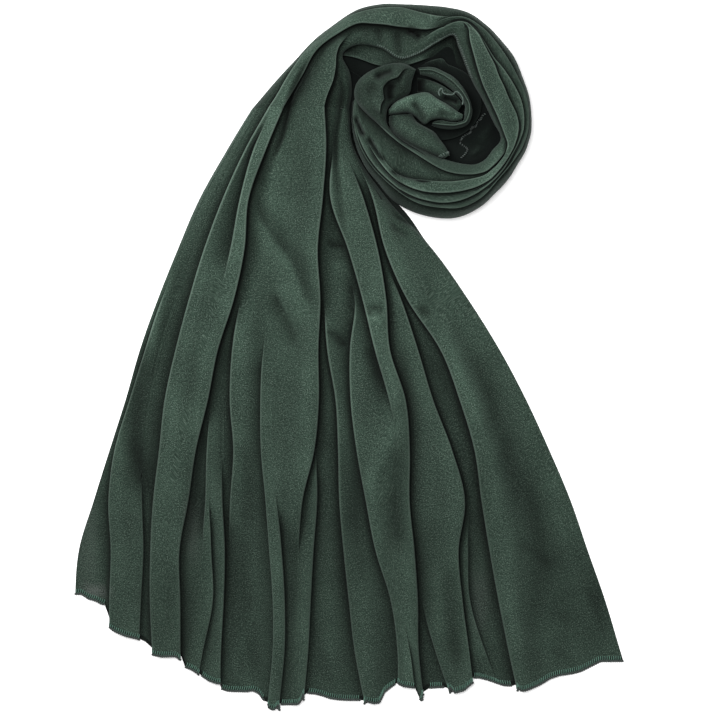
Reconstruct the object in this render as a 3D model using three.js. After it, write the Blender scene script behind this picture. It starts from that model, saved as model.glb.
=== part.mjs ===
import * as THREE from "three";

// Jersey headscarf laid flat: a pleated fan, gathered at a neck, arched over the top and wound into a rosette
// All sizes are in millimetres, with +Z up and the surface that the scarf lies on at z = 0

// Driving dimensions
const board = { across: 349.4, down: 357.8 };   // centre of the scarf on its 720 mm laying-out board
const wall = 1.2;                               // cloth thickness
const seam = 0.3;                               // gap between neighbouring stretches
const neckLine = 110;                           // board height where the neck meets the arch
const fanLine = 200;                            // board height where the fan meets the neck
const fanRows = 17;                             // sections between the fan line and the hem
const neckRows = 5;                             // sections in the neck

// How a fold is rolled: its full height starts a little behind the lip, its low side a little past it
const foldShape = {
  roll: 2.5,       // distance behind the lip where the fold has its full height
  foot: 1,         // distance past the lip where the low side starts
  room: 0.3,       // most of the way to the next fold that either of them takes
  lipDrop: 0.15,   // share of the rise by which the lip itself lies lower
};

// How panels lie between their folds: fade is the length over which a fold begins or ends, wide the
// width past which a panel has more points, and puff its swelling as a share of its width
const laidCloth = { fade: 40, wide: 30, puff: 0.05 };
const woundCloth = { fade: 1, wide: 18, puff: 0.06 };
const mostPuff = 3;

// Folds stand higher where the fan is gathered and lower where it spreads out
const fanFullness = {
  gathered: 0.5,
  gatherEnd: 200,
  gatherGone: 420,
  spread: 0.25,
  spreadStart: 520,
  spreadEnd: 680,
};

// Corners of an offset outline: the least cosine that is divided by, and the longest wall at a corner
const corner = { leastCosine: 0.5, longestWall: 1.5, leastInset: 0.6 };

// Fan and neck: each row gives a fold's distance across the board at the heights in fanHeights.
// lip 1 has the left panel on top and -1 the right one; from and to are the heights where it shows;
// hem is how far down the cloth hangs just left and just right of the fold.
const fanHeights = [110, 150, 200, 250, 300, 350, 400, 450, 500, 550, 600, 650, 700];
const fanLeft = [252.6, 228.2, 200, 178.3, 158.3, 140.3, 125.6, 110.2, 94.5, 78.9, 75.5, 75.5, 75.5];
const fanRight = [349.5, 354.6, 388, 433, 468.5, 499.7, 526.2, 549.2, 570.3, 587.5, 605, 620, 635];
const fanCrest = [33, 30, 22, 14, 7, 3, 1, 0, 0, 0, 0, 0, 0];
const fanHem = { left: 594, right: 661 };
const fanFolds = [
  { name: "B", lip: -1, from: 270, to: 720, rise: 7, hem: [610, 627],
    x: [255, 231.5, 204, 181.5, 162, 145.3, 129.7, 115, 108.8, 111.2, 109.8, 109.8, 109.8] },
  { name: "C", lip: 1, from: 460, to: 720, rise: 7, hem: [639, 640],
    x: [260, 238, 213, 193, 176, 160, 150, 143, 142.6, 144, 141.5, 139.2, 137] },
  { name: "D", lip: -1, from: 90, to: 720, rise: 9, hem: [646, 654],
    x: [270, 247.2, 224, 205, 189.5, 176, 165.1, 159.5, 153.6, 150.8, 150.2, 152.5, 155] },
  { name: "E", lip: -1, from: 90, to: 280, rise: 6, hem: [656, 656],
    x: [274, 255, 240.8, 231, 218, 204, 193, 181, 173, 167, 166, 167, 168] },
  { name: "F", lip: 1, from: 90, to: 720, rise: 10, hem: [659, 666.5],
    x: [285, 268, 250, 245.5, 234.7, 218.6, 208.5, 196.5, 189, 180.2, 180.9, 181, 181] },
  { name: "G", lip: -1, from: 400, to: 560, rise: 6, hem: [673, 673],
    x: [289, 271.5, 253, 248, 236.7, 221.5, 211.5, 207, 205.5, 202, 203, 197, 186] },
  { name: "I", lip: 1, from: 490, to: 720, rise: 6, hem: [674, 674],
    x: [292, 274, 255.2, 249.7, 238, 224.5, 214, 210, 210, 211.7, 213.3, 203.5, 194] },
  { name: "J", lip: 1, from: 455, to: 720, rise: 8, hem: [682.7, 688.6],
    x: [295, 276.8, 257.5, 251.5, 239.3, 228, 223, 223, 222.9, 225.3, 224.2, 221.5, 220.5] },
  { name: "H", lip: -1, from: 290, to: 550, rise: 7, hem: [689, 689],
    x: [297.5, 279, 260, 253.4, 240.8, 232.4, 230, 233.5, 230.3, 228.5, 227.5, 225.5, 225] },
  { name: "K", lip: -1, from: 330, to: 720, rise: 5, hem: [700, 704],
    x: [302, 290, 281, 276, 270, 263, 260.5, 261, 265.5, 269.2, 272.7, 272.7, 268] },
  { name: "L", lip: 1, from: 490, to: 720, rise: 7, hem: [709.5, 704.5],
    x: [307, 297, 289, 284, 279, 274, 271, 272, 277.4, 281.9, 285, 284.8, 280] },
  { name: "M", lip: 1, from: 90, to: 560, rise: 10, hem: [703.5, 703.5],
    x: [325, 326.7, 323.3, 318.2, 320.7, 318.7, 319.1, 314.6, 302.8, 299.5, 299, 297, 294] },
  { name: "N", lip: 1, from: 440, to: 720, rise: 7, hem: [699, 692.5],
    x: [326.8, 328.2, 325, 320.3, 322.2, 321, 321.3, 317, 317.4, 313.8, 311, 308.5, 304] },
  { name: "P", lip: -1, from: 290, to: 720, rise: 8, hem: [700, 703],
    x: [328.6, 329.7, 326.7, 323, 324, 327.2, 335.5, 338, 339.2, 343.4, 348.7, 354.4, 364] },
  { name: "Q", lip: -1, from: 280, to: 720, rise: 7, hem: [684, 682.5],
    x: [330.4, 331.2, 328.6, 338, 354.1, 349.8, 350.5, 356.4, 365.5, 375.3, 390.5, 397.2, 397.5] },
  { name: "O", lip: -1, from: 140, to: 430, rise: 8, hem: [685, 685],
    x: [332.2, 332.7, 330.6, 348, 362.4, 374.6, 388.7, 396, 388, 390, 397, 401, 403] },
  { name: "T", lip: 1, from: 620, to: 720, rise: 5, hem: [687, 690],
    x: [338, 341, 346, 358, 372, 382, 396, 402, 398, 398, 401, 410, 416] },
  { name: "S", lip: 1, from: 160, to: 720, rise: 9, hem: [694, 688],
    x: [341, 346, 363.7, 377.7, 386.2, 390, 405.6, 409.8, 409.5, 414.4, 417.8, 418.7, 424] },
  { name: "Z", lip: -1, from: 590, to: 720, rise: 6, hem: [688, 692.5],
    x: [342.7, 348, 366, 379.5, 389, 394, 409, 412.5, 412.5, 417.4, 421.5, 434.9, 452] },
  { name: "U", lip: 1, from: 265, to: 720, rise: 8, hem: [682, 677.5],
    x: [344.4, 349.8, 368.2, 381.3, 401.3, 418, 433.1, 452, 464.8, 458.5, 462.5, 469, 475] },
  { name: "V", lip: 1, from: 510, to: 690, rise: 5, hem: [681, 681],
    x: [346.1, 351.6, 370.4, 383, 404.2, 424, 440, 458, 469, 468.2, 470, 485, 506] },
  { name: "W", lip: -1, from: 165, to: 720, rise: 9, hem: [686, 690],
    x: [347.8, 353.4, 372.4, 384.7, 406.9, 440, 459.2, 474, 481, 489, 498, 508, 519] },
];

// Wound stretches: each section runs from its outer end to its inner end, both on the board, and its
// crest is the height of the gathered cloth there. A fold's x is its distance in from the outer end.
const arch = {
  name: "arch_strand",
  base: 0,
  finer: 2,
  sections: [
    { outer: [252.6, 110], inner: [349.5, 110], crest: 33 },
    { outer: [275, 84], inner: [351, 98], crest: 34 },
    { outer: [305, 53], inner: [350, 78], crest: 35 },
    { outer: [335, 26], inner: [354, 60], crest: 35 },
    { outer: [369, 7.5], inner: [373, 49], crest: 35 },
    { outer: [410, 6.5], inner: [407, 51], crest: 36 },
    { outer: [450, 10.5], inner: [437, 47], crest: 38 },
    { outer: [484, 26], inner: [460, 50], crest: 40 },
    { outer: [503, 48], inner: [471, 64], crest: 42 },
    { outer: [519.5, 71.5], inner: [478, 83], crest: 44 },
    { outer: [528.5, 101], inner: [487, 104], crest: 45 },
    { outer: [530.3, 127], inner: [497, 126], crest: 43 },
    { outer: [526, 145], inner: [505, 143], crest: 40 },
    { outer: [519, 160], inner: [510, 153], crest: 34 },
  ],
  folds: [
    { name: "rim", lip: -1, from: 3, to: 14, rise: 4,
      x: [6, 4, 3, 3.5, 5.7, 6.5, 10, 6.4, 6.7, 6.2, 4.5, 4, 3.2, 1.5] },
    { name: "ribbon", lip: -1, from: 6, to: 14, rise: 4,
      x: [13, 6, 5, 6, 12, 15, 14, 11.5, 14, 14, 11, 8, 6, 3] },
    { name: "D", lip: -1, from: -1, to: 1.5, rise: 7,
      x: [18, 10, 7, 8, 14, 18, 16.5, 14, 16, 18, 16, 10.5, 8.5, 4] },
    { name: "F", lip: 1, from: -1, to: 6, rise: 9,
      x: [32.4, 26, 12.5, 12.5, 20.5, 25, 18.5, 16, 18, 21, 19, 12, 10, 5] },
    { name: "broad", lip: -1, from: 6, to: 14, rise: 6,
      x: [40, 32, 18, 17, 24, 29, 20.5, 18, 20, 23.5, 22, 14, 12, 6.5] },
    { name: "M", lip: 1, from: -1, to: 4, rise: 9,
      x: [72.4, 58, 36.7, 24, 30, 34, 29, 26, 28, 33, 32, 24, 16, 9] },
  ],
};

const wrap = {
  name: "outer_wrap",
  base: 0,
  finer: 2,
  sections: [
    { outer: [518.2, 161], inner: [509.5, 154.2], crest: 34 },
    { outer: [512.6, 173.5], inner: [502, 160], crest: 38 },
    { outer: [496, 192], inner: [484, 165], crest: 42 },
    { outer: [477.5, 208.6], inner: [466, 167], crest: 45 },
    { outer: [453, 218], inner: [448, 168.5], crest: 46 },
    { outer: [422, 215], inner: [430, 163.5], crest: 45 },
    { outer: [395, 202], inner: [413, 154], crest: 44 },
    { outer: [373, 177], inner: [394, 141], crest: 43 },
    { outer: [360.6, 158], inner: [379, 128.5], crest: 41 },
    { outer: [354.3, 137], inner: [367, 118], crest: 38 },
    { outer: [352, 119], inner: [359, 108], crest: 34 },
  ],
  folds: [
    { name: "hemline", lip: -1, from: -1, to: 11, rise: 3.5, x: [1, 2, 4, 7, 8, 7, 8, 7, 6, 4, 1.5] },
    { name: "second", lip: -1, from: -1, to: 11, rise: 3.5, x: [2.2, 4, 8, 12, 14, 13.5, 14, 12, 10, 7, 3] },
    { name: "third", lip: -1, from: -1, to: 11, rise: 4, x: [4, 7, 13, 21, 24, 23, 22, 18, 15, 10, 5] },
    { name: "crease", lip: -1, from: 2, to: 11, rise: 4, x: [6, 10, 18, 29, 34, 34, 33, 27, 22, 14, 7] },
    { name: "inmost", lip: 1, from: 0, to: 8, rise: 4, x: [8, 13, 23, 36, 43, 44.5, 43, 34, 28, 18, 9.5] },
  ],
};

const petal = {
  name: "upper_petal",
  base: 24.3,
  sections: [
    { outer: [415.5, 72], inner: [411.5, 84], crest: 22 },
    { outer: [403, 66], inner: [405, 94], crest: 28 },
    { outer: [389, 66.5], inner: [397, 100], crest: 30 },
    { outer: [372, 72.5], inner: [391, 105.5], crest: 31 },
    { outer: [359.5, 81.5], inner: [387.5, 111.5], crest: 31 },
    { outer: [355.5, 92], inner: [386.2, 116.5], crest: 30 },
    { outer: [358, 104.5], inner: [386, 121], crest: 29 },
    { outer: [369, 117], inner: [387, 127], crest: 27 },
    { outer: [383, 130], inner: [392, 135.5], crest: 25 },
    { outer: [398, 143], inner: [403, 145.5], crest: 23 },
    { outer: [414, 154], inner: [417, 153.8], crest: 21 },
    { outer: [430, 162.5], inner: [432, 160], crest: 18 },
  ],
  folds: [
    { name: "lip", lip: 1, from: 0, to: 7, rise: 4,
      x: [4, 14, 18, 21, 22, 21, 18, 12, 6, 3.2, 1.6, 1.2] },
  ],
};

const lobe = {
  name: "central_lobe",
  base: 24.3,
  sections: [
    { outer: [388.5, 112], inner: [388.5, 117.2], crest: 24 },
    { outer: [394, 105.5], inner: [397, 116.8], crest: 29 },
    { outer: [404, 100.5], inner: [407, 115.6], crest: 32 },
    { outer: [416, 96.5], inner: [415, 119], crest: 34 },
    { outer: [428, 96], inner: [424, 125.5], crest: 34 },
    { outer: [437, 102.5], inner: [431, 122.5], crest: 33 },
    { outer: [447, 107.5], inner: [441, 121.5], crest: 31 },
    { outer: [456, 115], inner: [452, 124], crest: 28 },
    { outer: [462, 117], inner: [461, 122.5], crest: 22 },
  ],
  folds: [
    { name: "tuck", lip: 1, from: 1, to: 8, rise: 4, x: [2, 4, 6, 8, 12, 11, 8, 5, 3] },
  ],
};

const lower = {
  name: "lower_petal",
  base: 24.3,
  sections: [
    { outer: [388.8, 118.6], inner: [409.5, 118.2], crest: 22 },
    { outer: [389, 127], inner: [416.5, 125.8], crest: 27 },
    { outer: [394, 135.5], inner: [426, 131.5], crest: 28 },
    { outer: [403, 143], inner: [433.5, 134.5], crest: 27 },
    { outer: [416, 150], inner: [439, 142], crest: 26 },
    { outer: [430, 156], inner: [444.5, 150], crest: 24 },
    { outer: [444, 160.5], inner: [448.5, 157.5], crest: 18 },
  ],
  folds: [
    { name: "turn", lip: 1, from: 0, to: 6, rise: 3, x: [3, 3, 3, 3, 3, 2.5, 1.5] },
  ],
};

const rim = {
  name: "core_rim",
  base: 24.3,
  sections: [
    { outer: [417.5, 71.2], inner: [419.5, 77.2], crest: 20 },
    { outer: [432, 70.8], inner: [430, 80], crest: 25 },
    { outer: [444, 76], inner: [440.5, 84], crest: 28 },
    { outer: [455, 83.5], inner: [449, 89.5], crest: 29 },
    { outer: [464.5, 95], inner: [458, 97.5], crest: 29 },
    { outer: [470, 107], inner: [464.2, 107], crest: 28 },
    { outer: [471, 117.5], inner: [464.4, 114.5], crest: 27 },
    { outer: [466, 127], inner: [463.2, 123.6], crest: 25 },
    { outer: [453, 131], inner: [453, 125.3], crest: 24 },
    { outer: [440, 130.2], inner: [441, 123.5], crest: 22 },
    { outer: [431, 127.5], inner: [433, 123.8], crest: 16 },
  ],
  folds: [
    { name: "second", lip: -1, from: 0, to: 10, rise: 3, x: [2.5, 4, 4, 4, 3.5, 3, 3.4, 2.2, 2.8, 3, 1.8] },
  ],
};

const curl = {
  name: "core_curl",
  base: 24.3,
  sections: [
    { outer: [422, 82], inner: [421, 93], crest: 8 },
    { outer: [430, 85.5], inner: [430, 94.5], crest: 12 },
    { outer: [440, 88], inner: [437.5, 99], crest: 22 },
    { outer: [448, 92.5], inner: [444.5, 103], crest: 24 },
    { outer: [456, 98.5], inner: [451, 107], crest: 23 },
    { outer: [462, 107], inner: [458, 112.5], crest: 16 },
  ],
  folds: [
    { name: "turn", lip: 1, from: 2, to: 5, rise: 3, x: [4, 4, 5, 5, 4, 2.5] },
  ],
};

// Hidden layers in the middle of the coil: clear of the ring around them and just under the petals
const core = { name: "coil_core", inset: 0.45, shoulder: 19, edge: 22.6, edgeInset: 1.5, top: 24, round: 5 };

const fabric = { jersey: 0x2c4237, shade: 0x22332b };

// Value of a table's row at one place, on a smooth curve through its entries
function smooth(places, values, at) {
  const last = places.length - 1;
  if (at <= places[0]) return values[0];
  if (at >= places[last]) return values[last];
  let i = 0;
  while (places[i + 1] < at) i += 1;
  const slope = (k) => {
    const before = Math.max(k - 1, 0);
    const after = Math.min(k + 1, last);
    return (values[after] - values[before]) / (places[after] - places[before]);
  };
  const span = places[i + 1] - places[i];
  const t = (at - places[i]) / span;
  const t2 = t * t;
  const t3 = t2 * t;
  return (2 * t3 - 3 * t2 + 1) * values[i]
    + (t3 - 2 * t2 + t) * span * slope(i)
    + (3 * t2 - 2 * t3) * values[i + 1]
    + (t3 - t2) * span * slope(i + 1);
}

// Soft ramp from 0 to 1 between two places
function ramp(start, end, at) {
  const t = Math.min(Math.max((at - start) / (end - start), 0), 1);
  return t * t * (3 - 2 * t);
}

// How much of a fold shows at one place
function strength(strip, fold, at) {
  return ramp(fold.from, fold.from + strip.fade, at) * (1 - ramp(fold.to - strip.fade, fold.to, at));
}

// Height of the gathered cloth that carries the folds, round at both ends of the section
function crown(strip, share, at) {
  const side = Math.abs(2 * share - 1);
  return smooth(strip.places, strip.crest, at) * Math.sqrt(Math.sqrt(Math.max(1 - side ** 4, 0)));
}

// Everything about the folds at one place
function layOut(strip, at) {
  const left = smooth(strip.places, strip.left, at);
  const right = smooth(strip.places, strip.right, at);
  const marks = strip.folds.map((fold) => {
    const x = smooth(strip.places, fold.x, at);
    const low = strip.floor + crown(strip, (x - left) / (right - left), at);
    return { x, low, high: low + fold.rise * strip.scale(at) * strength(strip, fold, at) };
  });
  return { left, right, marks };
}

// Heights just left and just right of a fold
function sides(fold, mark) {
  return fold.lip > 0 ? [mark.high, mark.low] : [mark.low, mark.high];
}

// Names of the points along a section: the two ends, three on each fold and some across each panel
function knotsOf(strip) {
  const knots = [{ kind: "end", side: 0 }];
  const edges = [strip.left, ...strip.folds.map((fold) => fold.x), strip.right];
  for (let panel = 0; panel < edges.length - 1; panel += 1) {
    const widths = edges[panel].map((x, k) => edges[panel + 1][k] - x);
    const widest = Math.max(...widths);
    const count = widest > strip.wide * 2 ? 3 : widest > strip.wide ? 2 : 1;
    for (let step = 1; step <= count; step += 1) {
      knots.push({ kind: "panel", panel, share: step / (count + 1) });
    }
    if (panel < strip.folds.length) {
      for (const place of [-1, 0, 1]) knots.push({ kind: "fold", fold: panel, place });
    }
  }
  knots.push({ kind: "end", side: 1 });
  return knots;
}

// One point of a section as its distance along the section and its height
function knotPoint(strip, knot, at) {
  const { left, right, marks } = layOut(strip, at);
  if (knot.kind === "end") return { along: knot.side ? right : left, up: strip.floor };
  if (knot.kind === "panel") {
    const before = marks[knot.panel - 1];
    const after = marks[knot.panel];
    const start = before ? before.x : left;
    const end = after ? after.x : right;
    const startUp = before ? sides(strip.folds[knot.panel - 1], before)[1] : strip.floor;
    const endUp = after ? sides(strip.folds[knot.panel], after)[0] : strip.floor;
    const along = start + (end - start) * knot.share;
    const ground = strip.floor + crown(strip, (along - left) / (right - left), at);
    const startOver = before ? startUp - before.low : 0;
    const endOver = after ? endUp - after.low : 0;
    const soft = knot.share * knot.share * (3 - 2 * knot.share);
    const puff = Math.min((end - start) * strip.puff, mostPuff) * 4 * knot.share * (1 - knot.share);
    return { along, up: ground + startOver + (endOver - startOver) * soft + puff };
  }
  const fold = strip.folds[knot.fold];
  const mark = marks[knot.fold];
  const before = knot.fold ? marks[knot.fold - 1].x : left;
  const after = knot.fold < marks.length - 1 ? marks[knot.fold + 1].x : right;
  const roomBehind = fold.lip > 0 ? mark.x - before : after - mark.x;
  const roomAhead = fold.lip > 0 ? after - mark.x : mark.x - before;
  if (knot.place === 0) return { along: mark.x, up: mark.high - foldShape.lipDrop * (mark.high - mark.low) };
  if (knot.place === -fold.lip) {
    const roll = Math.min(foldShape.roll, roomBehind * foldShape.room);
    return { along: mark.x - fold.lip * roll, up: mark.high };
  }
  const foot = Math.min(foldShape.foot, roomAhead * foldShape.room);
  return { along: mark.x + fold.lip * foot, up: mark.low };
}

// How far down the board a point's own line of cloth ends
function hemOf(strip, knot) {
  const hemLeft = (index) => (index < strip.folds.length ? strip.folds[index].hem[0] : fanHem.right);
  const hemRight = (index) => (index < 0 ? fanHem.left : strip.folds[index].hem[1]);
  if (knot.kind === "end") return knot.side ? fanHem.right : fanHem.left;
  if (knot.kind === "panel") {
    const start = hemRight(knot.panel - 1);
    return start + (hemLeft(knot.panel) - start) * knot.share;
  }
  const fold = strip.folds[knot.fold];
  if (knot.place === 0) return fold.lip > 0 ? fold.hem[0] : fold.hem[1];
  return knot.place < 0 ? fold.hem[0] : fold.hem[1];
}

// Board place to model place
function onBoard(x, y, z) {
  return new THREE.Vector3(x - board.across, board.down - y, z);
}

// Second side of a cloth wall: each point of a section moved in by the wall thickness
function wallUnder(points) {
  return points.map((point, k) => {
    const before = points[Math.max(k - 1, 0)];
    const after = points[Math.min(k + 1, points.length - 1)];
    const inn = new THREE.Vector2(point.along - before.along, point.up - before.up);
    const out = new THREE.Vector2(after.along - point.along, after.up - point.up);
    const normalIn = new THREE.Vector2(inn.y, -inn.x).normalize();
    const normalOut = new THREE.Vector2(out.y, -out.x).normalize();
    const normal = k === 0 ? normalOut : k === points.length - 1 ? normalIn : normalIn.clone().add(normalOut);
    normal.normalize();
    const reference = k === 0 ? normalOut : normalIn;
    const cosine = Math.max(normal.dot(reference), corner.leastCosine);
    const reach = Math.min(wall / cosine, wall * corner.longestWall);
    return { along: point.along + normal.x * reach, up: Math.max(point.up + normal.y * reach, 0) };
  });
}

// Closed solid through rings of equal length, with both ends filled
function loft(rings, capShapes) {
  const positions = rings.flat();
  const count = rings[0].length;
  const triangles = [];
  for (let row = 0; row < rings.length - 1; row += 1) {
    for (let k = 0; k < count; k += 1) {
      const a = row * count + k;
      const b = row * count + ((k + 1) % count);
      const c = b + count;
      const d = a + count;
      const shortAC = positions[a].distanceTo(positions[c]) <= positions[b].distanceTo(positions[d]);
      if (shortAC) triangles.push([a, b, c], [a, c, d]);
      else triangles.push([a, b, d], [b, c, d]);
    }
  }
  const lastRow = (rings.length - 1) * count;
  for (const [a, b, c] of THREE.ShapeUtils.triangulateShape(capShapes[0], [])) {
    triangles.push([a, b, c]);
  }
  for (const [a, b, c] of THREE.ShapeUtils.triangulateShape(capShapes[1], [])) {
    triangles.push([lastRow + a, lastRow + b, lastRow + c]);
  }
  return orient(positions, triangles);
}

// Makes neighbouring triangles agree and the whole surface face out
function orient(positions, triangles) {
  const edges = new Map();
  triangles.forEach((triangle, index) => {
    for (let k = 0; k < 3; k += 1) {
      const a = triangle[k];
      const b = triangle[(k + 1) % 3];
      const key = a < b ? `${a},${b}` : `${b},${a}`;
      if (!edges.has(key)) edges.set(key, []);
      edges.get(key).push({ index, forward: a < b });
    }
  });
  const flipped = new Map([[0, false]]);
  const queue = [0];
  while (queue.length) {
    const index = queue.pop();
    const triangle = triangles[index];
    for (let k = 0; k < 3; k += 1) {
      const a = triangle[k];
      const b = triangle[(k + 1) % 3];
      const pair = edges.get(a < b ? `${a},${b}` : `${b},${a}`);
      const own = pair.find((use) => use.index === index);
      const other = pair.find((use) => use.index !== index);
      if (!other || flipped.has(other.index)) continue;
      flipped.set(other.index, own.forward === other.forward ? !flipped.get(index) : flipped.get(index));
      queue.push(other.index);
    }
  }
  let facing = triangles.map(([a, b, c], index) => (flipped.get(index) ? [a, c, b] : [a, b, c]));
  const volume = facing.reduce((sum, [a, b, c]) => {
    const cross = new THREE.Vector3().crossVectors(positions[b], positions[c]);
    return sum + positions[a].dot(cross) / 6;
  }, 0);
  if (volume < 0) facing = facing.map(([a, b, c]) => [a, c, b]);
  const geometry = new THREE.BufferGeometry();
  const coordinates = positions.flatMap((point) => [point.x, point.y, point.z]);
  geometry.setAttribute("position", new THREE.Float32BufferAttribute(coordinates, 3));
  geometry.setIndex(facing.flat());
  geometry.computeVertexNormals();
  return geometry;
}

// A section's outline in its own plane, for filling the ends of a solid
function flatShape(points) {
  return points.map((point) => new THREE.Vector2(point.along, point.up));
}

// The cloth of the fan and the neck, whose sections run straight across the board
function boardStrip() {
  const { gathered, gatherEnd, gatherGone, spread, spreadStart, spreadEnd } = fanFullness;
  const lift = (at) => gathered * (1 - ramp(gatherEnd, gatherGone, at));
  const fall = (at) => spread * ramp(spreadStart, spreadEnd, at);
  return {
    ...laidCloth,
    places: fanHeights,
    left: fanLeft,
    right: fanRight,
    crest: fanCrest,
    folds: fanFolds,
    floor: wall,
    scale: (at) => 1 + lift(at) - fall(at),
  };
}

// Fan: one pleated wall from the fan line to its hem, each column of points ending at its own hem
function fanGeometry() {
  const strip = boardStrip();
  const knots = knotsOf(strip);
  const shapes = [];
  const rings = [];
  for (let row = 0; row <= fanRows; row += 1) {
    const share = row / fanRows;
    const downs = knots.map((knot) => fanLine + seam / 2 + (hemOf(strip, knot) - fanLine - seam / 2) * share);
    const points = knots.map((knot, k) => knotPoint(strip, knot, downs[k]));
    const under = wallUnder(points);
    const top = points.map((point, k) => onBoard(point.along, downs[k], point.up));
    const bottom = under.map((point, k) => onBoard(point.along, downs[k], point.up));
    rings.push([...top, ...bottom.reverse()]);
    shapes.push(flatShape([...points, ...under.slice().reverse()]));
  }
  return loft(rings, [shapes[0], shapes[shapes.length - 1]]);
}

// Neck: the gathered cloth from the arch to the fan line, solid down to the surface
function neckGeometry() {
  const strip = boardStrip();
  const knots = knotsOf(strip);
  const shapes = [];
  const rings = [];
  for (let row = 0; row <= neckRows; row += 1) {
    const down = neckLine + seam / 2 + ((fanLine - neckLine - seam) * row) / neckRows;
    const points = knots.map((knot) => knotPoint(strip, knot, down));
    const start = { along: points[0].along, up: 0 };
    const end = { along: points[points.length - 1].along, up: 0 };
    const section = [start, ...points, end];
    rings.push(section.map((point) => onBoard(point.along, down, point.up)));
    shapes.push(flatShape(section));
  }
  return loft(rings, [shapes[0], shapes[shapes.length - 1]]);
}

// Both ends of a wound stretch's sections on the board, in even steps along it
function sectionEnds(stretch) {
  const places = stretch.sections.map((section, k) => k);
  const last = places.length - 1;
  const rows = last * (stretch.finer ?? 1);
  const column = (end, axis) => stretch.sections.map((section) => section[end][axis]);
  return Array.from({ length: rows + 1 }, (unused, row) => {
    const at = (row * last) / rows;
    const point = (end) => [0, 1].map((axis) => smooth(places, column(end, axis), at));
    return { at, outer: point("outer"), inner: point("inner") };
  });
}

// Wound stretch: sections from its outer to its inner edge, on a flat base
function woundGeometry(stretch) {
  const places = stretch.sections.map((section, k) => k);
  const span = ({ outer, inner }) => Math.hypot(inner[0] - outer[0], inner[1] - outer[1]);
  const lengths = stretch.sections.map(span);
  const strip = {
    ...woundCloth,
    places,
    left: lengths.map(() => 0),
    right: lengths,
    crest: stretch.sections.map((section) => section.crest),
    folds: stretch.folds,
    floor: stretch.base,
    scale: () => 1,
  };
  const knots = knotsOf(strip);
  const shapes = [];
  const rings = [];
  for (const { at, outer, inner } of sectionEnds(stretch)) {
    const length = smooth(places, lengths, at);
    const points = knots.map((knot) => knotPoint(strip, knot, at));
    rings.push(points.map((point) => {
      const share = point.along / length;
      const x = outer[0] + (inner[0] - outer[0]) * share;
      const y = outer[1] + (inner[1] - outer[1]) * share;
      return onBoard(x, y, point.up);
    }));
    shapes.push(flatShape(points));
  }
  return loft(rings, [shapes[0], shapes[shapes.length - 1]]);
}

// Outline moved in by a distance, each corner along the bisector of its two sides
function insetOutline(outline, distance) {
  const count = outline.length;
  return outline.map((point, k) => {
    const before = outline[(k + count - 1) % count];
    const after = outline[(k + 1) % count];
    const sideIn = new THREE.Vector2(point.y - before.y, before.x - point.x).normalize();
    const sideOut = new THREE.Vector2(after.y - point.y, point.x - after.x).normalize();
    const way = sideIn.clone().add(sideOut).normalize();
    return point.clone().addScaledVector(way, -distance / Math.max(way.dot(sideIn), corner.leastInset));
  });
}

// Rounded solid that fills the ring of the arch and the wrap up to just under the petals
function coreGeometry() {
  const archSide = sectionEnds(arch).slice(arch.finer, -arch.finer).map(({ inner }) => inner);
  const wrapSide = sectionEnds(wrap).slice(wrap.finer).map(({ inner }) => inner);
  let outline = [...archSide, ...wrapSide].map(([x, y]) => new THREE.Vector2(x, -y));
  if (THREE.ShapeUtils.area(outline) < 0) outline = outline.reverse();
  const clear = insetOutline(outline, core.inset);
  const ringAt = (shape, height) => shape.map((point) => onBoard(point.x, -point.y, height));
  const edge = insetOutline(outline, core.inset + core.edgeInset);
  const top = insetOutline(outline, core.inset + core.round);
  const rings = [ringAt(clear, 0), ringAt(clear, core.shoulder)];
  rings.push(ringAt(edge, core.edge), ringAt(top, core.top));
  return loft(rings, [clear, top]);
}

// One named piece with its cloth's finish
function cloth(name, geometry, color) {
  const material = new THREE.MeshStandardMaterial({ color, roughness: 0.95, metalness: 0 });
  const mesh = new THREE.Mesh(geometry, material);
  mesh.name = name;
  return mesh;
}

const scarf = new THREE.Group();
scarf.add(cloth("fan_drape", fanGeometry(), fabric.jersey));
scarf.add(cloth("neck_strand", neckGeometry(), fabric.jersey));
for (const stretch of [arch, wrap, petal, lobe, lower, rim, curl]) {
  scarf.add(cloth(stretch.name, woundGeometry(stretch), fabric.jersey));
}
scarf.add(cloth(core.name, coreGeometry(), fabric.shade));

export default scarf;
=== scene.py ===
import bpy
import math
import numpy as np
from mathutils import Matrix, Vector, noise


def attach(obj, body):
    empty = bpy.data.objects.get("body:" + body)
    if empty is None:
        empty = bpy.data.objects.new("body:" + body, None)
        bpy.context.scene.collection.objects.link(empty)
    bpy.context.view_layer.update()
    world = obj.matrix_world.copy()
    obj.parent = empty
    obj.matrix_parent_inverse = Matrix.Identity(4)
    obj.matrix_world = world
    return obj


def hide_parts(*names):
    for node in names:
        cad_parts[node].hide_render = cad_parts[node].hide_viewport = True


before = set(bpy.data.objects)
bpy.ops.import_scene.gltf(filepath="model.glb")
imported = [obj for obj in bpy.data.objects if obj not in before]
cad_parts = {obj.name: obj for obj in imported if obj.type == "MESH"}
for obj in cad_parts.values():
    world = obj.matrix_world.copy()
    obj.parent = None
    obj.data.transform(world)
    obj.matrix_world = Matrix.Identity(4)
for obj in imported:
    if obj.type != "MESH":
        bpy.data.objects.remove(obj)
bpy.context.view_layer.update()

mm = 0.001

# centre of the scarf on its 720 mm laying-out board; places below are in mm on that board
board = {"across": 349.4, "down": 357.8, "side": 720}


def report(words):
    print("scarf:", words)


# camera, light and table

view = {"lens": 175, "sensor": 36, "height": 3.5}
lamps = [
    {"name": "windowLight", "at": (-1.5, 1.6, 1.9), "size": 0.8, "watts": 46},
    {"name": "ceilingLight", "at": (-0.25, 0.4, 2.9), "size": 1.5, "watts": 88},
]
studio = {"daylight": 0.38, "floor": 0.98, "floorGlow": 0.2}


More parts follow.
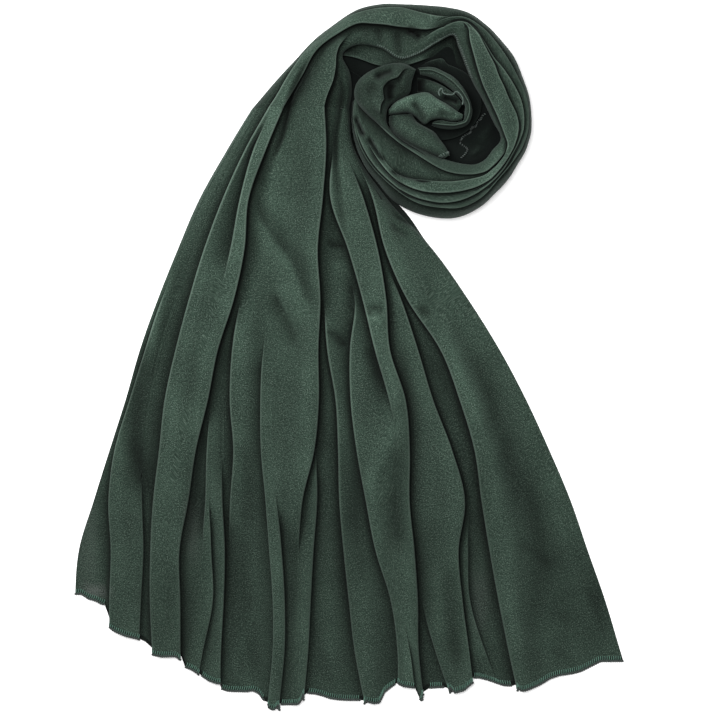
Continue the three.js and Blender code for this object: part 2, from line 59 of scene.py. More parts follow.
def addCamera():
    data = bpy.data.cameras.new("camera")
    data.lens = view["lens"]
    data.sensor_width = view["sensor"]
    data.clip_end = 20
    camera = bpy.data.objects.new("camera", data)
    half = board["side"] / 2
    camera.location = ((half - board["across"]) * mm, (board["down"] - half) * mm, view["height"])
    bpy.context.scene.collection.objects.link(camera)
    bpy.context.scene.camera = camera


def addLamps():
    for lamp in lamps:
        data = bpy.data.lights.new(lamp["name"], "AREA")
        data.shape = "DISK"
        data.size = lamp["size"]
        data.energy = lamp["watts"]
        light = bpy.data.objects.new(lamp["name"], data)
        light.location = lamp["at"]
        light.rotation_euler = (-Vector(lamp["at"])).to_track_quat("-Z", "Y").to_euler()
        bpy.context.scene.collection.objects.link(light)
    world = bpy.data.worlds.new("studio")
    world.use_nodes = True
    world.node_tree.nodes["Background"].inputs["Color"].default_value = (1, 1, 1, 1)
    world.node_tree.nodes["Background"].inputs["Strength"].default_value = studio["daylight"]
    bpy.context.scene.world = world
    bpy.context.scene.view_settings.view_transform = "Standard"


# shader helpers

class Wire:
    # a shader socket that can be written into sums
    def __init__(self, tree, socket):
        self.tree = tree
        self.socket = socket

    def join(self, operation, first, second):
        node = self.tree.nodes.new("ShaderNodeMath")
        node.operation = operation
        plug(self.tree, node.inputs[0], first)
        plug(self.tree, node.inputs[1], second)
        return Wire(self.tree, node.outputs[0])

    def __add__(self, other):
        return self.join("ADD", self, other)

    def __radd__(self, other):
        return self.join("ADD", other, self)

    def __sub__(self, other):
        return self.join("SUBTRACT", self, other)

    def __rsub__(self, other):
        return self.join("SUBTRACT", other, self)

    def __mul__(self, other):
        return self.join("MULTIPLY", self, other)

    def __rmul__(self, other):
        return self.join("MULTIPLY", other, self)


def plug(tree, socket, value):
    if isinstance(value, Wire):
        tree.links.new(value.socket, socket)
    else:
        socket.default_value = value


class Finish:
    # one material and its nodes
    def __init__(self, name):
        self.material = bpy.data.materials.new(name)
        self.material.use_nodes = True
        self.tree = self.material.node_tree
        self.shader = self.tree.nodes["Principled BSDF"]

    def node(self, kind, settings, values, output=0):
        node = self.tree.nodes.new("ShaderNode" + kind)
        for key, value in settings.items():
            setattr(node, key, value)
        for key, value in values.items():
            plug(self.tree, node.inputs[key], value)
        return Wire(self.tree, node.outputs[output])

    def noise(self, vector, detail, roughness):
        return self.node("TexNoise", {}, {"Vector": vector, "Scale": 1, "Detail": detail,
                                          "Roughness": roughness})

    def level(self, value, low, high):
        # 0 at low, 1 at high, soft in between
        return self.node("MapRange", {"clamp": True, "interpolation_type": "SMOOTHSTEP"},
                         {"Value": value, "From Min": low, "From Max": high})

    def mix(self, share, first, second):
        return self.node("Mix", {"data_type": "RGBA"}, {0: share, 6: first, 7: second}, 2)

    def mark(self, name):
        return self.node("Attribute", {"attribute_name": name}, {}, 2)

    def set(self, **values):
        for key, value in values.items():
            plug(self.tree, self.shader.inputs[key.replace("_", " ")], value)


jerseyLook = {
    "low": (0.0170, 0.0300, 0.0222, 1),      # between the knit rows
    "high": (0.0292, 0.0503, 0.0370, 1),
    "deep": (0.0050, 0.0095, 0.0070, 1),     # dark fibres
    "pale": (0.1150, 0.1600, 0.1280, 1),     # light fibres
    "sheer": (0.0850, 0.0980, 0.0890, 1),    # where one layer lets the table through
    "rim": (0.1150, 0.1650, 0.1320, 1),      # painted highlight on a fold's edge, where the fuzz catches the light
    # painted shade: near black, in the gaps beside the folds
    "gap": (0.0018, 0.0028, 0.0026, 1),
    "fibre": (900, 1050), "row": (260, 760), "streak": (40, 620), "cloud": (16, 26),
    "light": (0.56, 0.68), "dark": (0.32, 0.45), "even": (0.40, 0.60), "open": (0.36, 0.56),
    "rowPart": 0.55, "streakPart": 0.2, "cloudPart": 0.25,
    "lightPart": 0.62, "darkPart": 0.8, "rimPart": 0.5, "gapShadePart": 0.92,
    "sheen": 0.06, "sheenSpread": 0.5, "sheenTint": (0.7, 0.9, 0.8, 1), "specular": 0.12,
    "roughness": 0.94, "bump": 0.0008, "bumpPart": 0.5,
}


def jerseyFinish():
    look = jerseyLook
    finish = Finish("jersey")
    clothMap = finish.node("UVMap", {"uv_map": "cloth"}, {})

    def pattern(name, detail, roughness):
        place = finish.node("Mapping", {}, {"Vector": clothMap, "Scale": (*look[name], 1)})
        return finish.noise(place, detail, roughness)

    fibre = pattern("fibre", 1, 0.5)
    row = pattern("row", 2, 0.6)
    streak = pattern("streak", 1, 0.5)
    cloud = pattern("cloud", 2, 0.5)
    heather = row * look["rowPart"] + streak * look["streakPart"] + cloud * look["cloudPart"]
    colour = finish.mix(finish.level(heather, *look["even"]), look["low"], look["high"])
    colour = finish.mix(finish.level(fibre, *look["light"]) * look["lightPart"], colour, look["pale"])
    colour = finish.mix((1 - finish.level(fibre, *look["dark"])) * look["darkPart"], colour, look["deep"])
    colour = finish.mix(finish.mark("thin") * finish.level(fibre, *look["open"]), colour, look["sheer"])
    # painted highlight along the folds' lips
    colour = finish.mix(finish.mark("rim") * look["rimPart"], colour, look["rim"])
    # the light attribute is painted light and shade, multiplied into the colour
    colour = finish.node("Mix", {"data_type": "RGBA", "blend_type": "MULTIPLY"},
                         {0: 1, 6: colour, 7: finish.mark("light")}, 2)
    # painted shade in the gaps beside the folds
    colour = finish.mix(finish.mark("gap") * look["gapShadePart"], colour, look["gap"])
    bump = finish.node("Bump", {}, {"Height": fibre * look["bumpPart"] + row * look["bumpPart"],
                                    "Strength": 0.5, "Distance": look["bump"]})
    finish.set(Base_Color=colour, Normal=bump, Roughness=look["roughness"], Sheen_Weight=look["sheen"],
               Sheen_Roughness=look["sheenSpread"], Sheen_Tint=look["sheenTint"],
               Specular_IOR_Level=look["specular"])
    return finish.material


threadLook = {
    "stitch": {"deep": (0.020, 0.060, 0.042, 1), "pale": (0.045, 0.120, 0.084, 1)},
    "cord": {"deep": (0.003, 0.008, 0.006, 1), "pale": (0.008, 0.019, 0.014, 1)},
    "edge": {"deep": (0.020, 0.036, 0.028, 1), "pale": (0.066, 0.104, 0.084, 1)},
    # the edge thread painted darker, as shade, where it lies deep in the coil
    "hidden": {"deep": (0.006, 0.010, 0.009, 1), "pale": (0.036, 0.054, 0.046, 1)},
    "sheen": 0.15, "roughness": 0.75, "fibre": 900, "bump": 0.0003,
}


def threadFinish(kind):
    look = threadLook[kind]
    finish = Finish(kind + "Thread")
    place = finish.node("TexCoord", {}, {}, 3)
    place = finish.node("Mapping", {}, {"Vector": place, "Scale": (threadLook["fibre"],) * 3})
    fibre = finish.noise(place, 1, 0.5)
    bump = finish.node("Bump", {}, {"Height": fibre, "Strength": 0.4, "Distance": threadLook["bump"]})
    finish.set(Base_Color=finish.mix(finish.level(fibre, 0.38, 0.62), look["deep"], look["pale"]),
               Normal=bump, Roughness=threadLook["roughness"], Sheen_Weight=threadLook["sheen"])
    return finish.material


# section maker: cloth as rows of sections, each a chain of panels and rolled folds

def smoothRow(places, values, at):
    places = np.asarray(places, float)
    values = np.asarray(values, float)
    at = np.clip(at, places[0], places[-1])
    i = np.clip(np.searchsorted(places, at, side="right") - 1, 0, len(places) - 2)
    before = np.maximum(np.arange(len(places)) - 1, 0)
    after = np.minimum(np.arange(len(places)) + 1, len(places) - 1)
    slope = (values[after] - values[before]) / (places[after] - places[before])
    span = places[i + 1] - places[i]
    t = (at - places[i]) / span
    t2 = t * t
    t3 = t2 * t
    return ((2 * t3 - 3 * t2 + 1) * values[i] + (t3 - 2 * t2 + t) * span * slope[i]
            + (3 * t2 - 2 * t3) * values[i + 1] + (t3 - t2) * span * slope[i + 1])


def ramp(start, end, at):
    t = np.clip((at - start) / (end - start), 0, 1)
    return t * t * (3 - 2 * t)


def shownRoom(edges, place, step):
    # distance from one fold to the next that shows, on one side
    faded, room = 1, 0
    while 0 < place < len(edges) - 1 and np.any(faded > 0):
        room = room + faded * np.abs(edges[place + step]["x"] - edges[place]["x"])
        place += step
        faded = faded * (1 - edges[place]["q"])
    return room


# how a fold is formed: shares of the room beside it, and lengths in mm
foldShape = {
    "ebb": 0.42, "ebbRange": (2, 11), "roll": 0.24, "rollRoom": 0.3, "rollBeside": 0.45, "tuckRoom": 0.4,
    "spread": 0.5, "spreadMost": 4, "spreadPart": 0.8, "reachLeast": 3, "grooveDeep": 0.3, "grooveWide": 2.6,
    "wall": 0.12, "wallRoom": 0.4, "ply": 7, "plySteps": 3, "near": 0.24, "puffMost": 2.0,
    "nose": 0.26, "innerNose": 0.22,
}


def foldsAt(strip, at):
    # where the folds lie at the sections in at, how high they stand and how far they reach
    left = smoothRow(strip["places"], strip["left"], at)
    right = smoothRow(strip["places"], strip["right"], at)
    size = strip["scale"](at)
    marks = []
    for fold in strip["folds"]:
        shown = ramp(fold["from"], fold["from"] + strip["fade"], at)
        shown = shown * (1 - ramp(fold["to"] - strip["fade"], fold["to"], at))
        rise = fold["rise"]
        if isinstance(rise, list):
            rise = np.interp(at, [place for place, value in rise], [value for place, value in rise])
        marks.append({"x": smoothRow(strip["places"], fold["x"], at), "q": shown, "lip": fold["lip"],
                      "rise": rise * size * shown})
    edges = [{"x": left, "q": 1}] + marks + [{"x": right, "q": 1}]
    for k, mark in enumerate(marks):
        before, after = edges[k]["x"], edges[k + 2]["x"]
        beside = mark["x"] - before if mark["lip"] > 0 else after - mark["x"]
        narrow = np.minimum(mark["x"] - before, after - mark["x"])
        room = shownRoom(edges, k + 1, -mark["lip"])
        ebb = shownRoom(edges, k + 1, mark["lip"]) * foldShape["ebb"]
        mark["ebb"] = np.clip(ebb, *foldShape["ebbRange"])
        roll = np.minimum(mark["rise"] * foldShape["roll"], strip["nose"])
        roll = np.minimum(roll, room * foldShape["rollRoom"])
        mark["roll"] = np.clip(beside * foldShape["rollBeside"], 0, roll)
        mark["tuck"] = np.minimum(strip["tuck"] * mark["q"], room * foldShape["tuckRoom"])
        spread = np.minimum(narrow * foldShape["spread"], foldShape["spreadMost"])
        mark["spread"] = spread * (1 - mark["q"])
        mark["reach"] = np.clip(room, foldShape["reachLeast"], strip["reach"])
        mark["strong"] = mark["q"] * np.clip(mark["rise"] / strip["firm"], 0, 1)
    return left, right, marks


def ground(strip, s, left, right, at):
    # the gathered cloth under the folds, round at both ends of a section
    side = 2 * (s - left) / (right - left) - 1
    fall = np.clip(1 - np.abs(side) ** strip["square"], 0, 1) ** (1 / strip["square"])
    crest = smoothRow(strip["places"], strip["crest"], at)
    foot = np.where(side < 0, strip["floor"], smoothRow(strip["places"], strip["inner"], at))
    return foot + (crest - foot) * fall


def overGround(strip, panel, s, marks):
    # what the folds add to one panel: highest at a lip, with a groove at its foot
    total = 0
    for k, mark in enumerate(marks):
        if (panel <= k) == (mark["lip"] > 0):
            t = np.clip(np.abs(s - mark["x"]) / mark["reach"], 0, 1)
            total = total + mark["rise"] * (0.5 + 0.5 * np.cos(math.pi * t))
        else:
            away = np.maximum(mark["lip"] * (s - mark["x"]), 0)
            deep = np.minimum(mark["rise"] * foldShape["grooveDeep"], strip["groove"])
            total = total - deep * np.exp(-(away / foldShape["grooveWide"]) ** 2)
    return total


# painted highlights, light and shade beside a fold and at a section's two ends, with how far each reaches in
# mm
foldTone = {
    "rimWide": 1.2, "lit": 0.18, "litAt": 7, "litWide": 8, "gap": 0.85, "gapShadeWide": 1.1,
    "dim": 0.52, "farDim": 0.12, "farWide": 20, "outerEndLight": 0.8, "innerEndLight": 0.5,
}


def edgeTones(panel, s, marks):
    # painted highlights on the lips, painted shade in the gaps beside them, and painted light and shade on
    # either side
    tone = foldTone
    rim, gap, light = 0, 0, 1
    for k, mark in enumerate(marks):
        strong = mark["strong"]
        away = np.abs(s - mark["x"])
        if (panel <= k) == (mark["lip"] > 0):
            rim = rim + strong * np.exp(-(away / tone["rimWide"]) ** 2)
            lit = np.exp(-((away - tone["litAt"]) / tone["litWide"]) ** 2)
            light = light * (1 + tone["lit"] * strong * lit)
        else:
            away = np.maximum(mark["lip"] * (s - mark["x"]), 0)
            gap = gap + strong * tone["gap"] * np.exp(-(away / tone["gapShadeWide"]) ** 2)
            dim = tone["dim"] * np.exp(-(away / mark["ebb"]) ** 2)
            dim = dim + tone["farDim"] * np.exp(-away / tone["farWide"])
            light = light * (1 - strong * dim)
    return np.clip(rim, 0, 1), np.clip(gap, 0, 1), light


wallSteps = 9
wallTop = 0.93                            # how far up its rounding a wall's last step lies
foldSteps = 6
noseSteps = 3                             # the first half of a fold's steps, round its nose
noseTurns, tuckTurns = (60, 5, -55), (60, 0, -60)
# painted highlight and painted gap shade at each step round a fold's nose
noseHighlights, noseGapShades = (0.9, 1, 0), (0, 0.1, 0.9)
panelMost = 24
nearEdge = (0, 0.9, 2.4)                  # knots close to a fold, in mm from it


def wallInward(rise, square):
    return 1 - (1 - rise ** square) ** (1 / square)


def wallShare(step, square):
    # even steps up a rounded wall, as shares of the wall's reach
    return wallInward(wallTop * step / wallSteps, square) / wallInward(wallTop, square)


def knotsOf(strip):
    knots = [("end", 0, 0)] + [("wall", 0, step) for step in range(1, wallSteps)]
    edges = [strip["left"]] + [fold["x"] for fold in strip["folds"]] + [strip["right"]]
    for panel in range(len(edges) - 1):
        widest = float(np.max(np.asarray(edges[panel + 1]) - np.asarray(edges[panel])))
        even = int(np.clip(round(widest / strip["spacing"]) - 2, 1, panelMost))
        knots += [("panel", panel, ("start", away)) for away in nearEdge]
        knots += [("panel", panel, ("even", (step + 1) / (even + 1))) for step in range(even)]
        knots += [("panel", panel, ("back", away)) for away in reversed(nearEdge)]
        if panel < len(strip["folds"]):
            knots += [("fold", panel, step) for step in range(foldSteps)]
    knots += [("wall", 1, step) for step in range(wallSteps - 1, 0, -1)] + [("end", 1, 0)]
    return knots


def knotPoints(strip, knot, at):
    # distance along the section, height, painted rim highlight, painted gap shade and painted light of one
    # knot at all sections in at
    kind, index, share = knot
    left, right, marks = foldsAt(strip, at)
    none = np.zeros(len(at))
    firstRoom = marks[0]["x"] - left if marks else (right - left) / 2
    lastRoom = right - marks[-1]["x"] if marks else (right - left) / 2
    reachLeft = np.minimum((right - left) * foldShape["wall"], firstRoom * foldShape["wallRoom"])
    reachRight = np.minimum((right - left) * foldShape["wall"], lastRoom * foldShape["wallRoom"])
    if kind == "end":
        if index == 0:
            return left, none + strip["floor"], none, none, none + foldTone["outerEndLight"]
        z = smoothRow(strip["places"], strip["inner"], at)
        return right + strip["ledge"](at), z, none, none, none + foldTone["innerEndLight"]
    if kind == "wall":
        inward = wallShare(share, strip["square"])
        s = left + reachLeft * inward if index == 0 else right - reachRight * inward
        panel = 0 if index == 0 else len(marks)
        z = ground(strip, s, left, right, at) + overGround(strip, panel, s, marks)
        if index == 0:
            ply = np.abs(np.sin(z * math.pi / foldShape["ply"] + strip["plyTurn"](at)))
            s = s - strip["plies"] * ply * min(share, foldShape["plySteps"]) / foldShape["plySteps"]
        return (s, np.maximum(z, strip["floor"])) + edgeTones(panel, s, marks)
    if kind == "panel":
        start, end = left + reachLeft, right - reachRight
        if index > 0:
            mark = marks[index - 1]
            start = mark["x"] + mark["spread"] * 0.5 + np.where(mark["lip"] > 0, -mark["tuck"], mark["roll"])
        if index < len(marks):
            mark = marks[index]
            end = mark["x"] - mark["spread"] * 0.5 + np.where(mark["lip"] > 0, -mark["roll"], mark["tuck"])
        mode, value = share
        width = end - start
        near = np.clip(width * foldShape["near"], -nearEdge[-1], nearEdge[-1]) / nearEdge[-1]
        if mode == "start":
            s = start + value * near
        elif mode == "back":
            s = end - value * near
        else:
            s = start + nearEdge[-1] * near + (width - 2 * nearEdge[-1] * near) * value
        z = ground(strip, s, left, right, at) + overGround(strip, index, s, marks)
        part = (s - start) / np.where(np.abs(width) < 0.01, 0.01, width)
        puff = np.minimum(np.abs(width) * strip["puff"], foldShape["puffMost"])
        z = z + puff * np.sin(math.pi * np.clip(part, 0, 1)) ** 2
        return (s, np.maximum(z, strip["floor"])) + edgeTones(index, s, marks)
    mark = marks[index]
    lip = mark["lip"]
    highPanel, lowPanel = (index, index + 1) if lip > 0 else (index + 1, index)
    topAt = mark["x"] - lip * mark["roll"]
    top = ground(strip, topAt, left, right, at) + overGround(strip, highPanel, topAt, marks)
    footAt = mark["x"] - lip * mark["tuck"]
    foot = ground(strip, footAt, left, right, at) + overGround(strip, lowPanel, footAt, marks)
    foot = np.maximum(foot, strip["floor"])
    room = np.maximum(top - foot, 0)
    step = share if lip > 0 else foldSteps - 1 - share
    if step < noseSteps:
        angle = math.radians(noseTurns[step])
        nose = np.minimum(mark["roll"], room * foldShape["nose"])
        s = mark["x"] - lip * nose + lip * nose * math.cos(angle)
        z = top - nose + nose * math.sin(angle)
        rim, gap = noseHighlights[step] * mark["q"], noseGapShades[step] * mark["q"]
    else:
        angle = math.radians(tuckTurns[step - noseSteps])
        tuck = room * foldShape["innerNose"]
        s = footAt - lip * tuck * math.cos(angle)
        z = foot + tuck + tuck * math.sin(angle)
        rim, gap = none, mark["q"]
    before = (step < noseSteps) == (lip > 0)
    light = edgeTones(index if before else index + 1, s, marks)[2]
    s = s + mark["spread"] * (share / (foldSteps - 1) - 0.5) * foldShape["spreadPart"]
    return s, z, rim, gap, light


def knotGrid(strip, knots, ats):
    # all knots at their own sections, as grids of rows by knots
    columns = [knotPoints(strip, knot, at) for knot, at in zip(knots, ats)]
    return [np.stack([np.broadcast_to(column[k], ats[0].shape) for column in columns], 1) for k in range(5)]


def gridMesh(name, points, uv, tones):
    # points: rows by knots by 3, in metres
    rows, columns = points.shape[:2]
    index = np.arange(rows * columns).reshape(rows, columns)
    quads = np.stack([index[:-1, :-1], index[1:, :-1], index[1:, 1:], index[:-1, 1:]], -1).reshape(-1, 4)
    flat = points.reshape(-1, 3)
    facing = np.cross(flat[quads[:, 2]] - flat[quads[:, 0]], flat[quads[:, 3]] - flat[quads[:, 1]])
    if facing[:, 2].sum() < 0:
        quads = quads[:, ::-1]
    mesh = bpy.data.meshes.new(name)
    mesh.from_pydata(flat.tolist(), [], quads.tolist())
    layer = mesh.uv_layers.new(name="cloth")
    loops = np.empty(len(mesh.loops), np.int32)
    mesh.loops.foreach_get("vertex_index", loops)
    layer.data.foreach_set("uv", uv.reshape(-1, 2)[loops].astype(np.float32).ravel())
    for key, tone in tones.items():
        attribute = mesh.attributes.new(key, "FLOAT", "POINT")
        attribute.data.foreach_set("value", tone.astype(np.float32).ravel())
    mesh.polygons.foreach_set("use_smooth", np.ones(len(mesh.polygons), bool))
    piece = bpy.data.objects.new(name, mesh)
    bpy.context.scene.collection.objects.link(piece)
    return piece


def applyModifier(piece, kind, **settings):
    bpy.ops.object.select_all(action="DESELECT")
    bpy.context.view_layer.objects.active = piece
    piece.select_set(True)
    modifier = piece.modifiers.new(kind.lower(), kind)
    for key, value in settings.items():
        setattr(modifier, key, value)
    bpy.ops.object.modifier_apply(modifier=modifier.name)
    piece.select_set(False)


def clothUv(points, lengthWays):
    # real distances across each row and down each column, in metres
    across = np.linalg.norm(np.diff(points, axis=1), axis=2)
    along = np.linalg.norm(np.diff(points, axis=0), axis=2)
    u = np.pad(np.cumsum(across, axis=1), ((0, 0), (1, 0)))
    v = np.pad(np.cumsum(along, axis=0), ((1, 0), (0, 0))) + lengthWays
    return np.stack([u - u[:, -1:] / 2, v], -1)


creaseTaper = 0.25                        # share of a crease's length over which each end fades


def creaseLift(x, y, creases):
    # soft ridges and troughs along paths on the board; left and right widen a side
    lift = np.zeros_like(x)
    for crease in creases:
        path = np.array(crease["path"], float)
        lengths = np.linalg.norm(np.diff(path, axis=0), axis=1)
        best = np.full(x.shape, 1e9)
        side = np.zeros_like(x)
        along = np.zeros_like(x)
        done = 0
        for (ax, ay), (bx, by), length in zip(path[:-1], path[1:], lengths):
            ux, uy = (bx - ax) / length, (by - ay) / length
            t = np.clip((x - ax) * ux + (y - ay) * uy, 0, length)
            dx = x - ax - t * ux
            dy = y - ay - t * uy
            far = np.hypot(dx, dy)
            closer = far < best
            best = np.where(closer, far, best)
            side = np.where(closer, dx * uy - dy * ux, side)
            along = np.where(closer, (done + t) / lengths.sum(), along)
            done += length
        wide = crease["width"] * np.where(side > 0, crease["left"], crease["right"])
        taper = ramp(0, creaseTaper, np.minimum(along, 1 - along))
        lift += crease["lift"] * np.exp(-(best / wide) ** 2) * taper
    return lift


def unevenness(x, y, across, along, seed):
    # slow, uneven swelling of the cloth
    flat = np.stack([x.ravel() / across, y.ravel() / along], -1)
    values = [noise.noise(Vector((a, b, seed))) for a, b in flat.tolist()]
    return np.array(values).reshape(x.shape)


swelling = {"least": 0.2, "full": 6, "light": 0.1, "lightRange": (0.22, 1.3)}


def shapeCloth(x, y, z, light, floor, creases, swells):
    # adds soft creases and swells to the height, and their light
    calm = swelling["least"] + (1 - swelling["least"]) * ramp(0, swelling["full"], z - floor)
    bend = creaseLift(x, y, creases)
    for across, along, lift, seed in swells:
        bend = bend + lift * unevenness(x, y, across, along, seed)
    shade = np.clip(1 + swelling["light"] * bend, *swelling["lightRange"])
    return np.maximum(z + bend * calm, floor), light * shade


def cellsOf(points):
    # the 1 mm cells of the board that points lie in, rows first
    most = board["side"] - 1
    across = np.clip((points[..., 0] / mm + board["across"]).astype(int), 0, most)
    down = np.clip((board["down"] - points[..., 1] / mm).astype(int), 0, most)
    return down, across


mapSteps = 5


def heightMap(sheets):
    # top height of everything on the board, 1 mm cells
    top = np.zeros((board["side"], board["side"]))
    for sheet in sheets:
        points = sheet["points"]
        for part in np.linspace(0, 1, mapSteps):
            row = points[:-1] * (1 - part) + points[1:] * part
            for share in np.linspace(0, 1, mapSteps):
                spot = row[:, :-1] * (1 - share) + row[:, 1:] * share
                np.maximum.at(top, cellsOf(spot), spot[..., 2] / mm)
    return top


def softened(heights, radius):
    # three box averages, close to a round blur
    wide = 2 * radius + 1
    for turn in range(3):
        for axis in (0, 1):
            ends = [(radius + 1, radius) if axis == k else (0, 0) for k in (0, 1)]
            total = np.cumsum(np.pad(heights, ends, mode="edge"), axis=axis)
            above = np.take(total, range(wide, total.shape[axis]), axis=axis)
            below = np.take(total, range(0, total.shape[axis] - wide), axis=axis)
            heights = (above - below) / wide
    return heights


hollows = [{"radius": 3, "depth": 8, "dark": 0.5}, {"radius": 9, "depth": 15, "dark": 0.88}]


def shadeHollows(sheets):
    # cloth that lies below what is round it gets less light
    top = heightMap(sheets)
    for hollow in hollows:
        around = softened(top, hollow["radius"])
        for sheet in sheets:
            points = sheet["points"]
            sunk = np.clip((around[cellsOf(points)] - points[..., 2] / mm) / hollow["depth"], 0, 1)
            sheet["tones"]["light"] = sheet["tones"]["light"] * (1 - hollow["dark"] * sunk)


def onBoard(x, y, z):
    return np.stack([(x - board["across"]) * mm, (board["down"] - y) * mm, z * mm], -1)


cloth = {"wall": 0.8, "lift": 0.95}


def gridNormals(points):
    up = np.cross(np.gradient(points, axis=0), np.gradient(points, axis=1))
    up /= np.linalg.norm(up, axis=-1)[..., None] + 1e-12
    return up if up[..., 2].sum() > 0 else -up


def matchSeam(first, second):
    # the two sheets' first rows meet: both take the mean of their normals there
    rows = [(sheet["points"][0, :, 0], gridNormals(sheet["points"])[0]) for sheet in (first, second)]
    for k, sheet in enumerate((first, second)):
        own, normals = rows[k]
        places, others = rows[1 - k]
        order = np.argsort(places)
        other = [np.interp(own, places[order], others[order, axis]) for axis in range(3)]
        mean = normals + np.stack(other, 1)
        sheet["seam"] = mean / np.linalg.norm(mean, axis=1)[:, None]


def finishSheet(sheet, finish):
    # gives a sheet its thickness, its finish and its place in the frame
    points = sheet["points"]
    piece = gridMesh(sheet["name"], points, clothUv(points, sheet["start"]), sheet["tones"])
    applyModifier(piece, "SOLIDIFY", thickness=cloth["wall"] * mm, offset=-1)
    piece.data.materials.append(finish)
    if "seam" in sheet:
        normals = np.zeros((len(piece.data.vertices), 3))
        normals[:len(sheet["seam"])] = sheet["seam"]
        piece.data.normals_split_custom_set_from_vertices(normals.tolist())
    along = np.linalg.norm(np.diff(points, axis=0), axis=2).sum(axis=0).mean()
    area = sum(face.area for face in piece.data.polygons) / 2
    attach(piece, "root")
    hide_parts(*sheet["replaces"])
    flat = (round(float(area / along), 3), round(float(along), 3))
    report("%s, %.0f by %.0f mm of cloth, %d faces" % (sheet["name"], flat[0] / mm, flat[1] / mm,
                                                      len(piece.data.polygons)))


# the fan and its neck

fan = {
    "rows": 126, "top": 110, "tuck": 7, "spacing": 6, "hemSteps": (5.2, 3.9, 2.6, 1.3, 0), "hemRow": 680,
    "tuckedShort": 1.5,
    "heights": [110, 150, 200, 250, 300, 350, 400, 450, 500, 550, 600, 650, 700],
    "left": [252.6, 228.2, 200, 178.3, 158.3, 140.3, 125.6, 110.2, 94.5, 78.9, 75.5, 75.5, 75.5],
    "right": [349.5, 354.6, 388, 433, 468.5, 499.7, 526.2, 549.2, 570.3, 587.5, 605, 620, 635],
    "crest": [34, 31, 24, 16, 10, 6.5, 4.5, 3.5, 3, 3, 3, 2.5, 2.5],
    "hemLeft": 594, "hemRight": 661, "hemNear": 0.4, "hemInset": 1.2,
    "low": (300, 560), "lowShade": 0.27, "hemShade": 0.72, "lowRimHighlight": 0.55, "lowGapShade": 0.3,
}


def pleat(lip, start, end, rise, hem, x):
    # lip: the side its edge faces; x: its place at each of the fan's heights
    # hem: how far down it ends on its left and on its right
    return {"lip": lip, "from": start, "to": end, "rise": rise, "hem": hem, "x": x}


fanFolds = [
    pleat(-1, 270, 760, 6, (610, 627),
          [255, 231.5, 204, 181.5, 162, 145.3, 129.7, 115, 108.8, 111.2, 109.8, 109.8, 109.8]),
    pleat(1, 460, 760, 6, (639, 640),
          [260, 238, 213, 193, 176, 160, 150, 143, 142.6, 144, 141.5, 139.2, 137]),
    pleat(-1, 60, 760, 9, (646, 654),
          [270, 247.2, 224, 205, 189.5, 176, 165.1, 159.5, 153.6, 150.8, 150.2, 152.5, 155]),
    pleat(-1, 112, 290, 7, (656, 656),
          [274, 255, 240.8, 231, 218, 204, 193, 181, 173, 167, 166, 167, 168]),
    pleat(1, 60, 760, 10, (659, 666.5),
          [285, 268, 250, 245.5, 234.7, 218.6, 208.5, 196.5, 189, 180.2, 180.9, 181, 181]),
    pleat(-1, 400, 560, 6, (673, 673),
          [289, 271.5, 253, 248, 236.7, 221.5, 211.5, 207, 205.5, 202, 203, 197, 186]),
    pleat(1, 490, 760, 6, (674, 674),
          [292, 274, 255.2, 249.7, 238, 224.5, 214, 210, 210, 211.7, 213.3, 203.5, 194]),
    pleat(1, 455, 760, 8, (682.7, 688.6),
          [295, 276.8, 257.5, 251.5, 239.3, 228, 223, 223, 222.9, 225.3, 224.2, 221.5, 220.5]),
    pleat(-1, 290, 550, 7, (689, 689),
          [297.5, 279, 260, 253.4, 240.8, 232.4, 230, 233.5, 230.3, 228.5, 227.5, 225.5, 225]),
    pleat(-1, 330, 760, 5, (700, 704),
          [302, 290, 281, 276, 270, 263, 260.5, 261, 265.5, 269.2, 272.7, 272.7, 268]),
    pleat(1, 490, 760, 7, (709.5, 704.5),
          [307, 297, 289, 284, 279, 274, 271, 272, 277.4, 281.9, 285, 284.8, 280]),
    pleat(1, 60, 560, 10, (703.5, 703.5),
          [325, 326.7, 323.3, 318.2, 320.7, 318.7, 319.1, 314.6, 302.8, 299.5, 299, 297, 294]),
    pleat(1, 440, 760, 7, (699, 692.5),
          [326.8, 328.2, 325, 320.3, 322.2, 321, 321.3, 317, 317.4, 313.8, 311, 308.5, 304]),
    pleat(-1, 290, 760, 8, (700, 703),
          [328.6, 329.7, 326.7, 323, 324, 327.2, 335.5, 338, 339.2, 343.4, 348.7, 354.4, 364]),
    pleat(-1, 280, 760, 7, (684, 682.5),
          [330.4, 331.2, 328.6, 338, 354.1, 349.8, 350.5, 356.4, 365.5, 375.3, 390.5, 397.2, 397.5]),
    pleat(-1, 140, 430, 8, (685, 685),
          [332.2, 332.7, 330.6, 348, 362.4, 374.6, 388.7, 396, 388, 390, 397, 401, 403]),
    pleat(1, 620, 760, 5, (687, 690),
          [338, 341, 346, 358, 372, 382, 396, 402, 398, 398, 401, 410, 416]),
    pleat(1, 160, 760, 9, (694, 688),
          [341, 346, 363.7, 377.7, 386.2, 390, 405.6, 409.8, 409.5, 414.4, 417.8, 418.7, 424]),
    pleat(-1, 590, 760, 6, (688, 692.5),
          [342.7, 348, 366, 379.5, 389, 394, 409, 412.5, 412.5, 417.4, 421.5, 434.9, 452]),
    pleat(1, 265, 760, 8, (682, 677.5),
          [344.4, 349.8, 368.2, 381.3, 401.3, 418, 433.1, 452, 464.8, 458.5, 462.5, 469, 475]),
    pleat(1, 510, 690, 5, (681, 681),
          [346.1, 351.6, 370.4, 383, 404.2, 424, 440, 458, 469, 468.2, 470, 485, 506]),
    pleat(-1, 165, 760, 9, (686, 690),
          [347.8, 353.4, 372.4, 384.7, 406.9, 440, 459.2, 474, 481, 489, 498, 508, 519]),
]


def softCrease(width, lift, path, left=1, right=1):
    return {"path": path, "width": width, "lift": lift, "left": left, "right": right}


